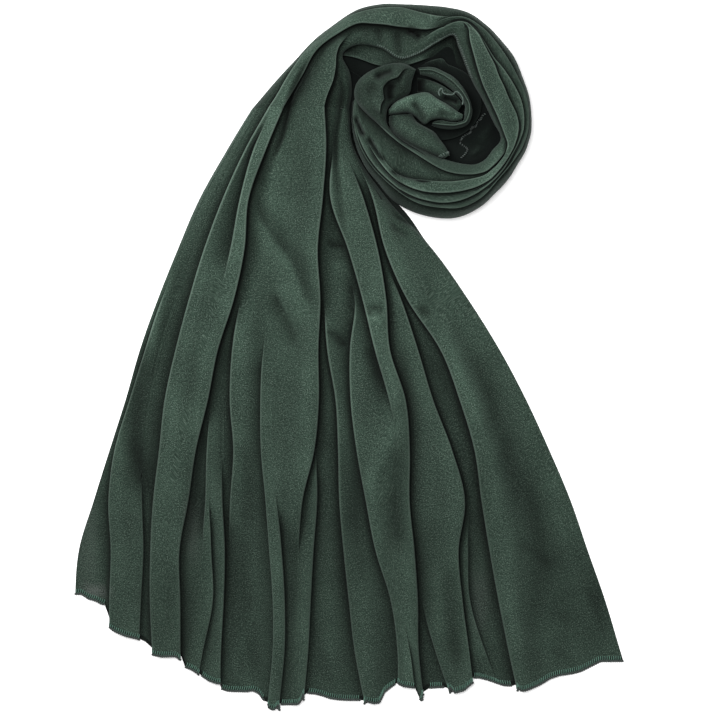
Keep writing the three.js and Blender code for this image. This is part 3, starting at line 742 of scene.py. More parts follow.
fanCreases = [
    softCrease(2.1, -6, [(330, 66), (341.7, 83), (343.4, 92), (341.7, 103), (340, 117), (336.5, 136),
        (336, 151), (337.2, 172), (340.4, 203), (344.9, 233), (349, 250)], right=1.6),
    softCrease(1.8, -6.5, [(318, 52), (310.7, 63), (303, 76), (294.2, 94), (289.7, 112), (283.3, 138),
        (278.2, 151), (268, 172)], right=1.8),
    softCrease(7, 3, [(429, 300), (446, 320), (451.5, 340), (458.5, 370), (470, 390), (480, 410),
        (489, 440), (497, 480), (500, 520)], left=1.8),
    softCrease(5, 2.5, [(228, 685), (240, 650), (252, 620), (258, 600)], right=0.8),
    softCrease(4, -2, [(313, 610), (320, 650), (330, 680), (338, 700)]),
    softCrease(7, 3, [(400, 415), (385, 450), (372, 480), (360, 500)]),
    softCrease(6, -1.6, [(512, 540), (535, 553), (560, 572)]),
    softCrease(6, -1.8, [(545, 608), (565, 618), (588, 628)]),
    softCrease(5, -1.5, [(545, 645), (562, 655), (580, 668)]),
    softCrease(4, -1.3, [(570, 585), (588, 595), (604, 603)]),
    softCrease(9, 3, [(280, 130), (276, 180), (272, 230), (268, 290)]),
    softCrease(7, -2.5, [(130, 430), (141, 470), (146, 520)]),
    softCrease(6, -2, [(246, 440), (249, 490), (246, 540)]),
    softCrease(5, -2, [(296, 520), (295, 580), (292, 640)]),
    softCrease(6, -2, [(430, 350), (452, 400), (468, 440)]),
    softCrease(15, -4.5, [(436, 300), (450, 320), (464, 345), (478, 370), (491, 400), (500, 425),
        (516, 470), (536, 515), (546, 560), (551, 620), (553, 660)]),
    softCrease(9, 2, [(489, 450), (499, 500), (504, 530), (513, 600), (521, 670)]),
    softCrease(2.6, -5.5, [(256, 196), (264, 220), (281, 245), (294, 262), (303, 284), (311, 305),
        (317, 326)], left=4.2),
    softCrease(7, 2.6, [(252, 208), (264, 236), (279, 258), (291, 280), (298, 305)]),
    softCrease(2.3, -5, [(271, 287), (279, 303), (286, 316), (293, 333), (299, 350)], right=4.5),
    softCrease(6, 1.8, [(276, 300), (284, 290), (296, 300), (303, 330)]),
    softCrease(3, -4.5, [(326, 243), (336, 245), (347, 246)]),
    softCrease(7, 2.4, [(333, 262), (343, 268), (350, 278)]),
    softCrease(2.6, -4, [(353, 281), (352, 298), (351, 316)], right=1.8),
    softCrease(4.5, -5.5, [(326, 329), (337, 337), (348, 348)]),
    softCrease(3.6, -6.5, [(365, 314), (374, 309), (385, 311)]),
    softCrease(4, 3, [(366, 321), (375, 317), (384, 327)]),
    softCrease(4, -4, [(366, 343), (374, 362), (382, 388)], right=1.6),
    softCrease(2, -6, [(390, 212), (401, 220), (414, 226)]),
    softCrease(3, -4.5, [(389, 224), (398, 231), (410, 235)]),
    softCrease(4.5, -5, [(416, 305), (424, 311), (432, 318)]),
    softCrease(9, -3.5, [(296, 84), (308, 98), (318, 112)]),
    softCrease(12, -4.5, [(151, 325), (146, 360), (140, 400), (136, 430), (141, 470), (147, 505)]),
    softCrease(9, -5, [(402, 430), (398, 470), (397, 500), (399, 530), (404, 565)]),
    softCrease(9, -3.5, [(344, 430), (349, 480), (354, 520), (360, 560), (369, 605)]),
    softCrease(8, -3.5, [(447, 550), (450, 600), (454, 640), (460, 680)]),
    softCrease(6, -3, [(186, 250), (172, 300), (160, 350), (148, 400)]),
    softCrease(8, -2, [(214, 260), (203, 310), (194, 370), (186, 430)]),
    softCrease(6, -2, [(176, 560), (172, 600), (170, 650)]),
    softCrease(7, 2, [(302, 440), (304, 400), (306, 360)]),
    softCrease(10, -2, [(570, 520), (582, 560), (598, 610), (610, 650)]),
    softCrease(9, -2.5, [(244, 520), (243, 580), (250, 640), (262, 690)], right=1.5),
]


def fanStrip():
    return {"places": fan["heights"], "left": fan["left"], "right": fan["right"], "crest": fan["crest"],
            "folds": fanFolds, "inner": [cloth["lift"]] * len(fan["heights"]), "plies": 0.7, "nose": 2.0,
            "plyTurn": lambda at: 0.02 * (at - fan["top"]), "floor": cloth["lift"], "fade": 45,
            "ledge": lambda at: 7 * (1 - ramp(212, 246, at)),
            "tuck": fan["tuck"], "spacing": fan["spacing"], "square": 4, "puff": 0.03, "reach": 42,
            "groove": 2.2, "firm": 8.5,
            "scale": lambda at: 1.1 + 0.4 * (1 - ramp(200, 420, at)) - 0.3 * ramp(520, 690, at)}


hemLine = [(75.5, 594), (84, 598), (95, 600), (100.5, 603), (107, 605), (109.6, 610), (110, 627),
           (115, 631), (125, 635.5), (139, 639), (140, 640), (147, 642), (151.5, 646), (152.5, 654),
           (163, 656), (176.5, 655.5), (181, 659), (182, 666.5), (190, 669.5), (200, 674.5), (209, 680),
           (216, 682.5), (220.5, 682.7), (221.5, 688.6), (229.5, 691), (248, 691), (255, 690), (260, 693),
           (265, 699), (268, 703), (271, 707), (274.5, 709.5), (278, 708), (280, 704.5), (300, 703.5),
           (303, 699), (304.5, 692.5), (318, 693.5), (330, 698), (340, 699.5), (363, 700), (365.5, 703),
           (377, 702), (380, 694), (385, 690), (397, 682.5), (403, 685.5), (413, 687), (414.5, 696),
           (419, 700), (423, 697), (424.5, 688), (440, 686.5), (449, 688), (450, 692.5), (462, 689.5),
           (472, 682), (472.8, 677.5), (482, 677.5), (492, 681), (500, 685), (516, 686), (518, 690),
           (522, 690), (530, 687.5), (540, 683.5), (550, 678), (560, 675), (575, 673), (585, 670.5),
           (600, 667), (610, 664.5), (623.5, 661)]


def hemAt(x):
    return float(np.interp(x, [place for place, hem in hemLine], [hem for place, hem in hemLine]))


def hemOf(strip, knot):
    # where a knot's column ends, and whether it lies tucked under a fold, where it ends a little higher
    kind, index, share = knot
    if kind in ("end", "wall"):
        return fan["hemLeft"] if index == 0 else fan["hemRight"], False
    row = np.array([float(fan["hemRow"])])
    x = float(knotPoints(strip, knot, row)[0][0])
    atHem = [fold["to"] - strip["fade"] > fan["hemRow"] for fold in fanFolds]
    if kind == "fold" and not atHem[index]:
        return hemAt(x), False
    if kind == "fold":
        left, right = fanFolds[index]["hem"]
        high, tucked = (left, share >= noseSteps) if fanFolds[index]["lip"] > 0 else (right, share < noseSteps)
        return (min(high, hemAt(x)) - fan["tuckedShort"], True) if tucked else (high, False)
    left, right, marks = foldsAt(strip, row)
    edges = [left] + [mark["x"] for mark in marks] + [right]
    low, high = float(edges[index][0]), float(edges[index + 1][0])
    if index > 0 and atHem[index - 1] and fanFolds[index - 1]["lip"] > 0 and x < low + fan["hemNear"]:
        return min(fanFolds[index - 1]["hem"][0], hemAt(x)) - fan["tuckedShort"], True
    if index < len(fanFolds) and atHem[index] and fanFolds[index]["lip"] < 0 and x > high - fan["hemNear"]:
        return min(fanFolds[index]["hem"][1], hemAt(x)) - fan["tuckedShort"], True
    return hemAt(min(max(x, low + fan["hemInset"]), high - fan["hemInset"])), False


def sheerTone(x, y):
    # how much each place lets the table through
    total = 0
    for patch in sheerPatches:
        across = (x - patch["at"][0]) / patch["size"][0]
        down = (y - patch["at"][1]) / patch["size"][1]
        total = total + patch["strength"] * np.exp(-across ** 4 - down ** 4)
    return np.clip(total, 0, 1)


def shapeFan():
    strip = fanStrip()
    knots = knotsOf(strip)
    steps = np.array(fan["hemSteps"])
    ends, tucked = zip(*[hemOf(strip, knot) for knot in knots])
    even = fan["rows"] - len(steps) + 1
    downs = [np.concatenate([np.linspace(fan["top"], end - steps[0], even), end - steps[1:]]) for end in ends]
    x, z, rim, gap, light = knotGrid(strip, knots, downs)
    y = np.stack(downs, 1)
    z, light = shapeCloth(x, y, z, light, cloth["lift"], fanCreases, fanSwells)
    # painted shade: the fan is darker towards its lower part and along its hem, and its painted highlights and
    # gap shade are weaker low down
    low = ramp(*fan["low"], y)
    hemBand = ramp(fan["hemSteps"][0], fan["hemSteps"][1], y[-1:] - y)
    light = light * (1 - fan["lowShade"] * low) * (1 - fan["hemShade"] * hemBand)
    tones = {"rim": rim * (1 - fan["lowRimHighlight"] * low), "gap": gap * (1 - fan["lowGapShade"] * low),
             "thin": sheerTone(x, y), "light": light}
    cuts = [-1] + [k for k, hidden in enumerate(tucked) if hidden] + [len(tucked)]
    runs = [slice(a + 1, b) for a, b in zip(cuts, cuts[1:]) if b - a > 3]
    return {"name": "fanCloth", "points": onBoard(x, y, z), "tones": tones, "held": "laid", "start": 0,
            "runs": runs, "replaces": ["fan_drape", "neck_strand"]}


overlock = {
    "pitch": 2.2, "slant": 1.1, "thread": 0.58, "sides": 5, "lift": 0.3, "lowLift": 2, "middleLift": 1.6,
    "cord": 1.1, "cordSides": 6, "bump": 0.24,
}
sheerPatches = [
    {"at": (97, 591), "size": (14, 6), "strength": 0.9},
    {"at": (88, 540), "size": (10, 50), "strength": 0.25},
    {"at": (192, 530), "size": (8, 30), "strength": 0.35},
    {"at": (480, 600), "size": (8, 30), "strength": 0.35},
]
fanSwells = [(21, 110, 2.4, 3.1), (11, 45, 0.8, 9.4)]


# wound stretches: each row of sections runs from an outer to an inner end on the board, with the
# height of the cloth on top and at its inner end; a fold's path is drawn on the board

sectionColumns = ("outerX", "outerY", "innerX", "innerY", "crest", "innerUp")


def woundFold(lip, start, end, rise, path):
    # start and end are places in the list of sections
    return {"lip": lip, "from": start, "to": end, "rise": rise, "path": path}


ringCreases = [
    softCrease(2.4, -11, [(355, 117), (357, 124), (361, 133), (366, 141)]),
    softCrease(2, 3, [(359, 118), (362, 128), (368, 138)]),
    softCrease(2, -9, [(366, 137), (374, 149), (380, 158), (386, 166)], right=1.8),
    softCrease(2.4, 3, [(372, 142), (379, 152), (386, 162)]),
    softCrease(1.8, -6, [(388, 172), (402, 178), (420, 183), (433, 184)]),
    softCrease(3, 4, [(412, 160), (420, 171), (433, 184)]),
    softCrease(4, -3, [(376, 30), (379, 38), (381, 50)]),
    softCrease(3.5, -3.5, [(396, 34), (398, 46), (400, 60)]),
    softCrease(4, 2, [(350, 42), (358, 38), (366, 36)]),
    softCrease(3, -8, [(405, 34), (413, 35), (421, 42)]),
    softCrease(2.5, -3, [(404, 190), (396, 180), (390, 172)]),
]
ring = {
    "rows": 8, "spacing": 4, "square": 4, "floor": 0.95, "plies": 0.7, "reach": 42, "puff": 0.03, "firm": 5,
    "tuck": lambda at: 7 - 4 * ramp(0, 3, at), "nose": lambda at: 2 - 0.6 * ramp(0, 3, at),
    # shade, litTo and base are painted shade and light; outerShade paints the outer panel darker
    "groove": 2.2, "fade": 1, "shade": 0, "litTo": -2, "base": 0.78,
    "creases": fanCreases[:2] + ringCreases, "swells": fanSwells, "paintedLitPatches": [],
    "outerShade": 0.72,
    "scale": lambda at: 1 + 0.5 * (1 - ramp(0, 3, at)),
    "sections": [
        (252.6, 110, 349.5, 110, 34, 0.95),
        (275, 84, 352, 92, 34, 4),
        (293.5, 64, 350, 74, 35, 8),
        (314, 42.5, 343, 60, 36, 14),
        (335, 26, 346, 52.5, 36, 24),
        (358, 11.5, 360, 47, 36, 27),
        (381, 6.3, 381, 51, 36, 28),
        (400, 6.1, 400, 62.5, 36, 29),
        (420, 7, 418, 57, 37, 29),
        (447, 9.6, 436, 46, 38, 28),
        (467, 14.7, 452, 38, 40, 24),
        (484, 26, 458, 50, 41, 18),
        (496.5, 38.5, 463, 62, 42, 14),
        (512.5, 58, 468, 75, 43, 13),
        (521, 78, 474, 88, 44, 13),
        (528.5, 101, 483, 103, 44, 13),
        (530.3, 127, 493, 124, 43, 14),
        (528, 141, 499, 135, 42, 16),
        (523.5, 153.5, 499, 143, 40, 20),
        (516.5, 165, 492, 151, 40, 22),
        (508, 178.5, 484, 161, 41, 22),
        (496, 192, 474, 166, 43, 24),
        (477.5, 208.6, 462, 165.5, 45, 26),
        (453, 218, 445, 161.5, 46, 28),
        (422, 215, 430, 156, 45, 28),
        (395, 202, 411, 146, 44, 28),
        (378, 183, 397, 137, 43, 28),
        (365, 166, 386, 126, 42, 28),
        (356, 145, 378, 114, 40, 27),
        (352, 122, 370, 103, 37, 24),
        (353, 103, 366, 94, 34, 22),
    ],
    "folds": [
        woundFold(-1, 3, 9.6, 5, [(326, 36), (335, 29), (346, 21), (360, 15.5), (375, 12), (390, 11),
            (400, 10.3), (409, 13), (420.5, 16.5), (431, 19), (439, 20.5), (447, 20)]),
        woundFold(-1, 8.4, 30.5, 5, [(428, 30), (435.7, 26), (444.6, 22), (453.6, 20.4), (462.5, 21),
            (471.4, 24.6), (478.6, 29.5), (485.7, 35.7), (493, 44), (500, 53.6), (507, 64.3), (513.4, 75),
            (519.6, 87.5), (525, 100), (527.2, 116), (527, 128), (524.5, 140), (519.5, 152), (512, 163),
            (505, 172), (495, 183.5), (483.6, 197), (470, 206), (457, 210.5), (441.5, 210), (430, 208.6),
            (418, 206), (405, 199), (395, 191), (385, 183), (376, 174), (367, 162), (360, 149),
            (355, 135), (353.5, 124)]),
        woundFold(-1, -2, 3, 9, [(262, 122), (270, 110), (277.6, 99), (284.3, 86), (293.5, 71),
            (300.4, 61), (306, 53), (311, 48)]),
        woundFold(1, -2, 9.2, 10, [(280, 120), (285, 110), (293.5, 95), (300.4, 83), (307.2, 71),
            (311.8, 61), (318.6, 52), (328.5, 44), (339.4, 37), (349.7, 31), (358.9, 27), (381, 28.7),
            (400, 31), (409, 31.7), (419, 33.5), (430, 34), (440, 30)]),
        woundFold(-1, 10.2, 28.8, 5, [(463, 23.5), (470, 28), (476, 35), (484, 47), (492, 61),
            (501, 71.4), (509, 83), (516, 95.5), (520.5, 107), (522.5, 120.5), (521.5, 134), (517, 146),
            (511, 157), (506, 166), (499, 176), (486.6, 188), (473, 197), (459, 203), (441.5, 205.5),
            (429.5, 203.5), (414, 199.6), (403, 193.5), (391, 186.6), (382, 178), (373, 167), (365, 157),
            (359, 147), (355.5, 135), (355, 124)]),
        woundFold(-1, 7.8, 27.6, 6, [(420, 43.5), (426.8, 39), (435.7, 34), (444.6, 29.5), (453.6, 26),
            (462.5, 25.5), (470, 30), (477.7, 38.4), (482, 47), (489, 61), (493, 68), (497, 80),
            (502.7, 91), (507, 103), (512.5, 112.5), (516, 120.5), (517, 129.5), (515.5, 140),
            (511.5, 151), (506, 161), (498, 172), (488, 182.6), (476, 189), (463, 193), (445, 195.5),
            (430, 195), (418, 193), (405, 188), (393, 180), (384, 171), (377, 161), (368, 147),
            (362, 134), (360, 124)]),
        woundFold(1, -2, 4.6, 10, [(325, 118), (325, 110), (326.2, 102), (330.2, 92), (334, 83),
            (336, 71), (336.6, 60), (339.4, 50), (346.3, 41), (353, 34), (358, 31)]),
        woundFold(1, 10, 27, [(10, 12), (17, 12), (20, 5), (24, 3), (27, 2.5)], [(463, 29), (467, 30),
            (468, 44.6), (471.4, 57), (476, 74), (481, 89), (486.6, 101), (492, 112.5), (496.4, 122),
            (501, 134), (506, 147), (503, 158), (494, 169), (483, 178), (468, 181.5), (450, 184),
            (432.5, 183.5), (422, 182), (406.5, 180), (395, 175), (385, 165), (379, 152)]),
        woundFold(-1, 18, 33, 5, [(506, 146), (503.5, 155), (496, 164), (485, 174), (473, 177),
            (460, 177), (450, 175.5), (441, 172.5), (429.5, 166), (414, 156), (399, 146), (388, 137),
            (380, 129), (368, 117), (361, 109)]),
    ],
}


# how far past a section's ends a path still counts, rows in a mean, and least gap between folds in mm
crossing = {"slack": 0.02, "soft": 5, "gap": 0.8}


def cross(path, outer, inner):
    # share of the way from each outer to each inner end where a path on the board crosses it
    path = np.array(path, float)
    across = inner - outer
    offset = path[None, :, :] - outer[:, None, :]
    side = offset[..., 0] * across[:, None, 1] - offset[..., 1] * across[:, None, 0]
    turn = side[:, :-1] * side[:, 1:] <= 0
    part = side[:, :-1] / (side[:, :-1] - side[:, 1:] + 1e-12)
    places = offset[:, :-1] + (offset[:, 1:] - offset[:, :-1]) * part[..., None]
    share = (places * across[:, None, :]).sum(-1) / (across ** 2).sum(-1)[:, None]
    good = turn & (share > -crossing["slack"]) & (share < 1 + crossing["slack"])
    rows = np.arange(len(outer))
    found = good.any(1)
    first = np.where(good, share, 9).min(1)
    filled = np.interp(rows, rows[found], first[found])
    soft = np.ones(crossing["soft"]) / crossing["soft"]
    return np.convolve(np.pad(filled, crossing["soft"] // 2, mode="edge"), soft, "valid")


def settle(shares, shown, lengths):
    # keeps the folds in order: those that show stay where they are drawn, the others fit between
    gap = crossing["gap"] / lengths
    last = np.zeros_like(lengths)
    low = []
    for share, seen in zip(shares, shown):
        share[:] = np.where(seen, np.maximum(share, last + gap), share)
        low.append(last + gap)
        last = np.where(seen, share, last + gap)
    following = np.ones_like(lengths)
    for share, seen, least in reversed(list(zip(shares, shown, low))):
        share[:] = np.where(seen, np.minimum(share, following - gap), np.clip(share, least, following - gap))
        following = share


def woundStrip(stretch):
    sections = np.array(stretch["sections"], float)
    places = np.arange(len(sections), dtype=float)
    at = np.linspace(0, len(sections) - 1, (len(sections) - 1) * stretch["rows"] + 1)
    row = {name: smoothRow(places, sections[:, k], at) for k, name in enumerate(sectionColumns)}
    outer = np.stack([row["outerX"], row["outerY"]], 1)
    inner = np.stack([row["innerX"], row["innerY"]], 1)
    lengths = np.linalg.norm(inner - outer, axis=1)
    shares = [cross(fold["path"], outer, inner) for fold in stretch["folds"]]
    shown = [(at > fold["from"]) & (at < fold["to"]) for fold in stretch["folds"]]
    settle(shares, shown, lengths)
    kept = ("floor", "plies", "tuck", "spacing", "square", "puff", "reach", "nose", "groove", "fade", "firm")
    strip = {key: stretch[key](at) if callable(stretch[key]) else stretch[key] for key in kept}
    strip.update(places=at, left=np.zeros(len(at)), right=lengths, crest=row["crest"], inner=row["innerUp"],
                 folds=[dict(fold, x=share * lengths) for fold, share in zip(stretch["folds"], shares)],
                 scale=stretch.get("scale", lambda at: 1), ledge=lambda at: 0,
                 plyTurn=lambda at: 1.3 * np.sin(0.8 * at))
    return strip, at, outer, inner, lengths


# places compared along a seam, steps between rows of points, widths of the two smoothings, rows of fading
seam = {"places": 160, "parts": 9, "middle": 7, "mean": 9, "fade": 1.5}


def envelope(points, grid):
    # top height along one row of a sheet, at the places in grid
    top = np.full(len(grid), -1.0)
    for part in np.linspace(0, 1, seam["parts"]):
        x = points[:-1, 0] * (1 - part) + points[1:, 0] * part
        z = points[:-1, 2] * (1 - part) + points[1:, 2] * part
        slot = np.clip(np.round((x - grid[0]) / (grid[1] - grid[0])).astype(int), 0, len(grid) - 1)
        np.maximum.at(top, slot, z)
    good = top >= 0
    return np.interp(grid, grid[good], top[good])


def windows(values, width):
    # each value together with its neighbours on both sides
    return np.lib.stride_tricks.sliding_window_view(np.pad(values, width // 2, mode="edge"), width)


def seamChange(row, own):
    # how far a sheet's first row rises or falls to meet its neighbour's, only where both of them are
    left, right = max(row[:, 0].min(), own[:, 0].min()), min(row[:, 0].max(), own[:, 0].max())
    grid = np.linspace(left, right, seam["places"])
    change = envelope(row, grid) - envelope(own, grid)
    change = np.median(windows(change, seam["middle"]), axis=1)     # drops the steps beside folds
    return grid, windows(change, seam["mean"]).mean(axis=1)


# metres by which a sheet's pattern starts further along, for each letter of its name
clothStart = 0.02


def shapeWound(name, stretch, replaced, neighbour=None):
    strip, at, outer, inner, lengths = woundStrip(stretch)
    knots = knotsOf(strip)
    s, z, rim, gap, light = knotGrid(strip, knots, [at] * len(knots))
    share = (s / lengths[:, None])[..., None]
    place = outer[:, None, :] + (inner - outer)[:, None, :] * share
    x, y = place[..., 0], place[..., 1]
    z, light = shapeCloth(x, y, z, light, strip["floor"], stretch["creases"], stretch["swells"])
    points = onBoard(x, y, z)
    if neighbour is not None:
        # the first rows rise or fall to meet the neighbour's first row
        grid, change = seamChange(neighbour["points"][0], points[0])
        report("seam rises or falls by up to %.1f mm" % (np.abs(change).max() / mm))
        fade = 1 - ramp(0, seam["fade"], at)
        points[..., 2] += np.interp(points[0, :, 0], grid, change)[None, :] * fade[:, None]
        points[..., 2] = np.maximum(points[..., 2], strip["floor"] * mm)
    first = np.array([knot[1] == 0 and knot[0] != "end" or knot == ("end", 0, 0) for knot in knots])
    lit = first[None, :] * (1 - ramp(stretch["litTo"] - 1, stretch["litTo"] + 1, at))[:, None]
    # painted shade over the hidden plies, left off their lit first panel up to litTo and lessened on the
    # painted lit patches
    paintedLitPatches = np.clip(creaseLift(x, y, stretch["paintedLitPatches"]), 0, 1)
    gap = np.clip(gap + stretch["shade"] * (1 - lit) * (1 - paintedLitPatches), 0, 1)
    outside = np.array([knot[1] == 0 and knot[0] != "fold" for knot in knots])
    # painted light and shade: base makes a whole piece lighter or darker, and outerShade darkens its outer
    # panel
    light = light * stretch["base"] * np.where(outside, stretch["outerShade"], 1)[None, :]
    tones = {"rim": rim, "gap": gap, "thin": np.zeros_like(x), "light": light}
    return {"name": name, "points": points, "tones": tones, "held": "folded",
            "start": clothStart * len(name), "replaces": replaced}


# base and outerShade: painted light and shade for a whole piece and for its outer panel
plain = {
    "rows": 10, "spacing": 3, "square": 3, "firm": 5, "plies": 0, "tuck": 2.5, "reach": 14, "puff": 0.04,
    "nose": 1.2, "groove": 1.5, "fade": 1, "shade": 0, "litTo": -2, "base": 0.9, "outerShade": 0.85,
    "paintedLitPatches": [], "creases": [], "swells": [(13, 13, 1.2, 5.5)],
}
# the upper petal is painted darker by its base
petal = dict(plain, floor=24, base=0.5, outerShade=1, creases=[
    softCrease(4.2, -8, [(374, 84), (380, 79), (388, 76), (395, 75)]),
    softCrease(4.5, -9, [(394, 86), (389, 92), (388, 98), (391, 105)]),
    softCrease(4, 3, [(360, 90), (366, 82), (378, 73)]),
    softCrease(4, 3.5, [(372, 100), (378, 110), (386, 122)]),
    softCrease(5, -3, [(366, 96), (372, 92), (376, 88)]),
    softCrease(3.5, 3.5, [(404, 76), (404, 84), (402, 94)]),
], sections=[
    (415.5, 72, 411.5, 84, 46, 34),
    (403, 66, 409, 96, 52, 34),
    (389, 66.5, 400, 102, 54, 34),
    (372, 72.5, 391, 107, 55, 34),
    (359.5, 81.5, 387.5, 111.5, 55, 34),
    (354.5, 92, 386.2, 116.5, 54, 34),
    (356, 104, 386, 121, 53, 34),
    (367, 117, 387, 127, 51, 34),
    (382, 130.5, 392, 135.5, 49, 36),
    (398, 143.5, 403, 145.5, 47, 38),
    (414, 154.5, 418, 153.8, 45, 38),
    (430, 163.5, 432, 160, 42, 38),
], folds=[
    woundFold(1, 0.5, 6.5, 6, [(406, 73), (401, 76), (398, 82), (389, 84.5), (383, 90.6), (382, 96.7),
        (385, 103), (388, 108)]),
])
# the central lobe is painted lighter by its base
lobe = dict(plain, floor=24, base=1.42, outerShade=1, creases=[
    softCrease(3.4, -6, [(411, 104), (416, 112), (423, 122), (425, 128)]),
    softCrease(2.8, 4, [(426, 95), (434, 103), (444, 112), (455, 122)]),
    softCrease(3.5, 3, [(392, 110), (404, 103), (416, 99)]),
    softCrease(3, -4, [(436, 117), (446, 118), (456, 120)]),
], sections=[
    (388.5, 112, 388.5, 117.2, 46, 30),
    (394, 105.5, 397, 116.8, 53, 30),
    (404, 100, 407, 115.6, 56, 30),
    (416, 96, 415, 119, 58, 30),
    (427, 95, 424, 126.5, 58, 30),
    (437, 101.5, 431, 122.5, 57, 30),
    (447, 107, 441, 121.5, 55, 30),
    (456, 113.5, 452, 124, 52, 30),
    (462, 117, 461, 122.5, 46, 30),
], folds=[])
lower = dict(plain, floor=24, base=0.92, creases=[
    softCrease(3, -6, [(414, 117), (424, 127), (438, 137), (446, 148)]),
    softCrease(6, 3, [(396, 126), (408, 135), (420, 143)]),
], sections=[
    (388.8, 118.6, 411.5, 116.8, 46, 28),
    (389, 127, 417.5, 124.8, 51, 28),
    (394, 135.5, 428, 130.5, 52, 28),
    (403, 143, 434.5, 134.5, 51, 28),
    (416, 150, 440, 142, 50, 28),
    (430, 156, 445.5, 150, 48, 28),
    (444, 160.5, 449, 157, 44, 28),
], folds=[])
rims = dict(plain, floor=24, spacing=2, tuck=1, base=0.8, sections=[
    (417.5, 70.5, 419.5, 77.2, 44, 30),
    (432, 70, 430, 80, 49, 30),
    (444, 75, 440.5, 85, 52, 30),
    (455, 82, 449, 91, 53, 30),
    (464.5, 94, 458, 99, 53, 30),
    (470, 107, 463.5, 107, 52, 30),
    (471, 117.5, 463.5, 114, 51, 30),
    (466, 127, 462, 122.5, 49, 30),
    (453, 131, 453, 124.8, 48, 30),
    (440, 130.2, 441, 122.8, 46, 30),
    (431, 127.5, 433, 123.8, 40, 30),
], folds=[
    woundFold(1, -1, 11, 3, [(418, 74), (431, 74.5), (442, 79.5), (452, 86.5), (461, 96.5), (467, 107),
        (467.5, 116), (464, 125), (453, 128), (440.5, 127), (432, 125.5)]),
])
curl = dict(plain, floor=24, spacing=2, base=0.75, creases=[
    softCrease(5, -8, [(419, 80), (419, 88), (419, 96)]),
    softCrease(3.2, -9, [(440, 98), (446, 101), (452, 103), (459, 106)]),
], sections=[
    (417, 80, 417, 96, 34, 30),
    (428, 82, 429, 95.5, 37, 30),
    (438, 86, 437.5, 101, 44, 30),
    (447, 91.5, 444.5, 105, 47, 30),
    (456, 98.5, 451, 109, 46, 30),
    (462, 106, 457, 113.5, 38, 30),
], folds=[])
coilMiddle = (412, 106)
coilClose = 0.2
arcSteps = 24


def arc(middle, radii, start, end):
    # points of an elliptical arc on the board, angles in degrees, clockwise from the right
    angles = np.radians(np.linspace(start, end, arcSteps))
    return [(middle[0] + radii[0] * math.cos(a), middle[1] + radii[1] * math.sin(a)) for a in angles]


# the plies are painted almost black as shade under the coil, with a few painted lit patches
plies = dict(plain, floor=8, spacing=4, square=6, shade=0.98, litTo=8, base=0.85, paintedLitPatches=[
    softCrease(8, 0.12, [(474, 162), (478, 152), (483, 141), (489, 131), (498, 120)]),
    softCrease(4, 0.25, [(446, 56), (440, 62), (428, 66)]),
], creases=[
    softCrease(4, 4, [(479, 144), (484, 134), (490, 126), (497, 121)]),
    softCrease(3, 3, [(470, 158), (476, 152), (482, 146)]),
], sections=[
    (334, 62, 372, 100, 12, 10),
    (340, 52, 388, 92, 18, 10),
    (358, 42, 400, 90, 24, 12),
    (381, 44, 410, 92, 25, 16),
    (400, 50, 417, 95, 25, 20),
    (420, 46, 424, 96, 25, 24),
    (441, 36, 428, 97, 24, 24),
    (461, 34, 432, 99, 20, 24),
    (470, 60, 434, 102, 16, 24),
    (482, 88, 436, 106, 15, 24),
    (499, 122, 436, 110, 15, 24),
    (508, 146, 434, 114, 17, 24),
    (490, 166, 430, 117, 20, 24),
    (465, 172, 424, 118, 22, 24),
    (440, 167, 416, 118, 24, 24),
    (415, 156, 406, 116, 24, 24),
    (392, 140, 396, 112, 22, 22),
    (366, 118, 388, 108, 18, 18),
    (346, 118, 386, 104, 16, 14),
    (343, 96, 384, 100, 13, 12),
    (333, 60, 374, 101, 10, 9),
], folds=[
    woundFold(1, 0, 6, 7, [(336, 57), (345, 57.5), (358, 60), (373, 67), (390, 70), (410, 67), (430, 60),
        (446, 46)]),
    woundFold(-1, 5, 16, 5, arc((438, 104), (43, 38), -80, 120)),
])


def closedUp(sections):
    # the hidden layers close up under the middle of the coil
    table = np.array(sections, float)
    inner = slice(sectionColumns.index("innerX"), sectionColumns.index("innerY") + 1)
    table[:, inner] = coilMiddle + coilClose * (table[:, inner] - coilMiddle)
    return table


plies["sections"] = closedUp(plies["sections"])


def makeTable():
    bpy.ops.mesh.primitive_plane_add(size=6, location=(0, 0, 0))
    floor = bpy.context.object
    floor.name = "floor"
    finish = Finish("table")
    white = (studio["floor"], studio["floor"], studio["floor"], 1)
    finish.set(Base_Color=white, Roughness=0.9, Specular_IOR_Level=0.1, Emission_Color=(1, 1, 1, 1),
               Emission_Strength=studio["floorGlow"])
    floor.data.materials.append(finish.material)


# overlocked edges: slanted stitches over a rolled edge

def tube(path, radius, sides):
    # closed tube along a path, as points and faces; the radius may change along it
    count = len(path)
    way = np.gradient(path, axis=0)
    way /= np.linalg.norm(way, axis=1)[:, None] + 1e-12
    across = np.cross(way, (0, 0, 1.0))
    across /= np.linalg.norm(across, axis=1)[:, None] + 1e-12
    up = np.cross(across, way)
    turn = np.arange(sides)[None, :, None] * 2 * math.pi / sides
    wide = np.broadcast_to(radius, count)[:, None, None]
    rings = path[:, None] + wide * (np.cos(turn) * across[:, None] + np.sin(turn) * up[:, None])
    index = np.arange(count * sides).reshape(count, sides)
    after = np.roll(index, -1, axis=1)
    faces = np.stack([index[:-1], after[:-1], after[1:], index[1:]], -1).reshape(-1, 4).tolist()
    return rings.reshape(-1, 3), faces + [index[0][::-1].tolist(), index[-1].tolist()]


def lengthAlong(row):
    return np.concatenate([[0], np.cumsum(np.linalg.norm(np.diff(row, axis=0), axis=1))])


def placesOn(row, way, at):
    return np.stack([np.interp(at, way, row[:, axis]) for axis in range(3)], 1)


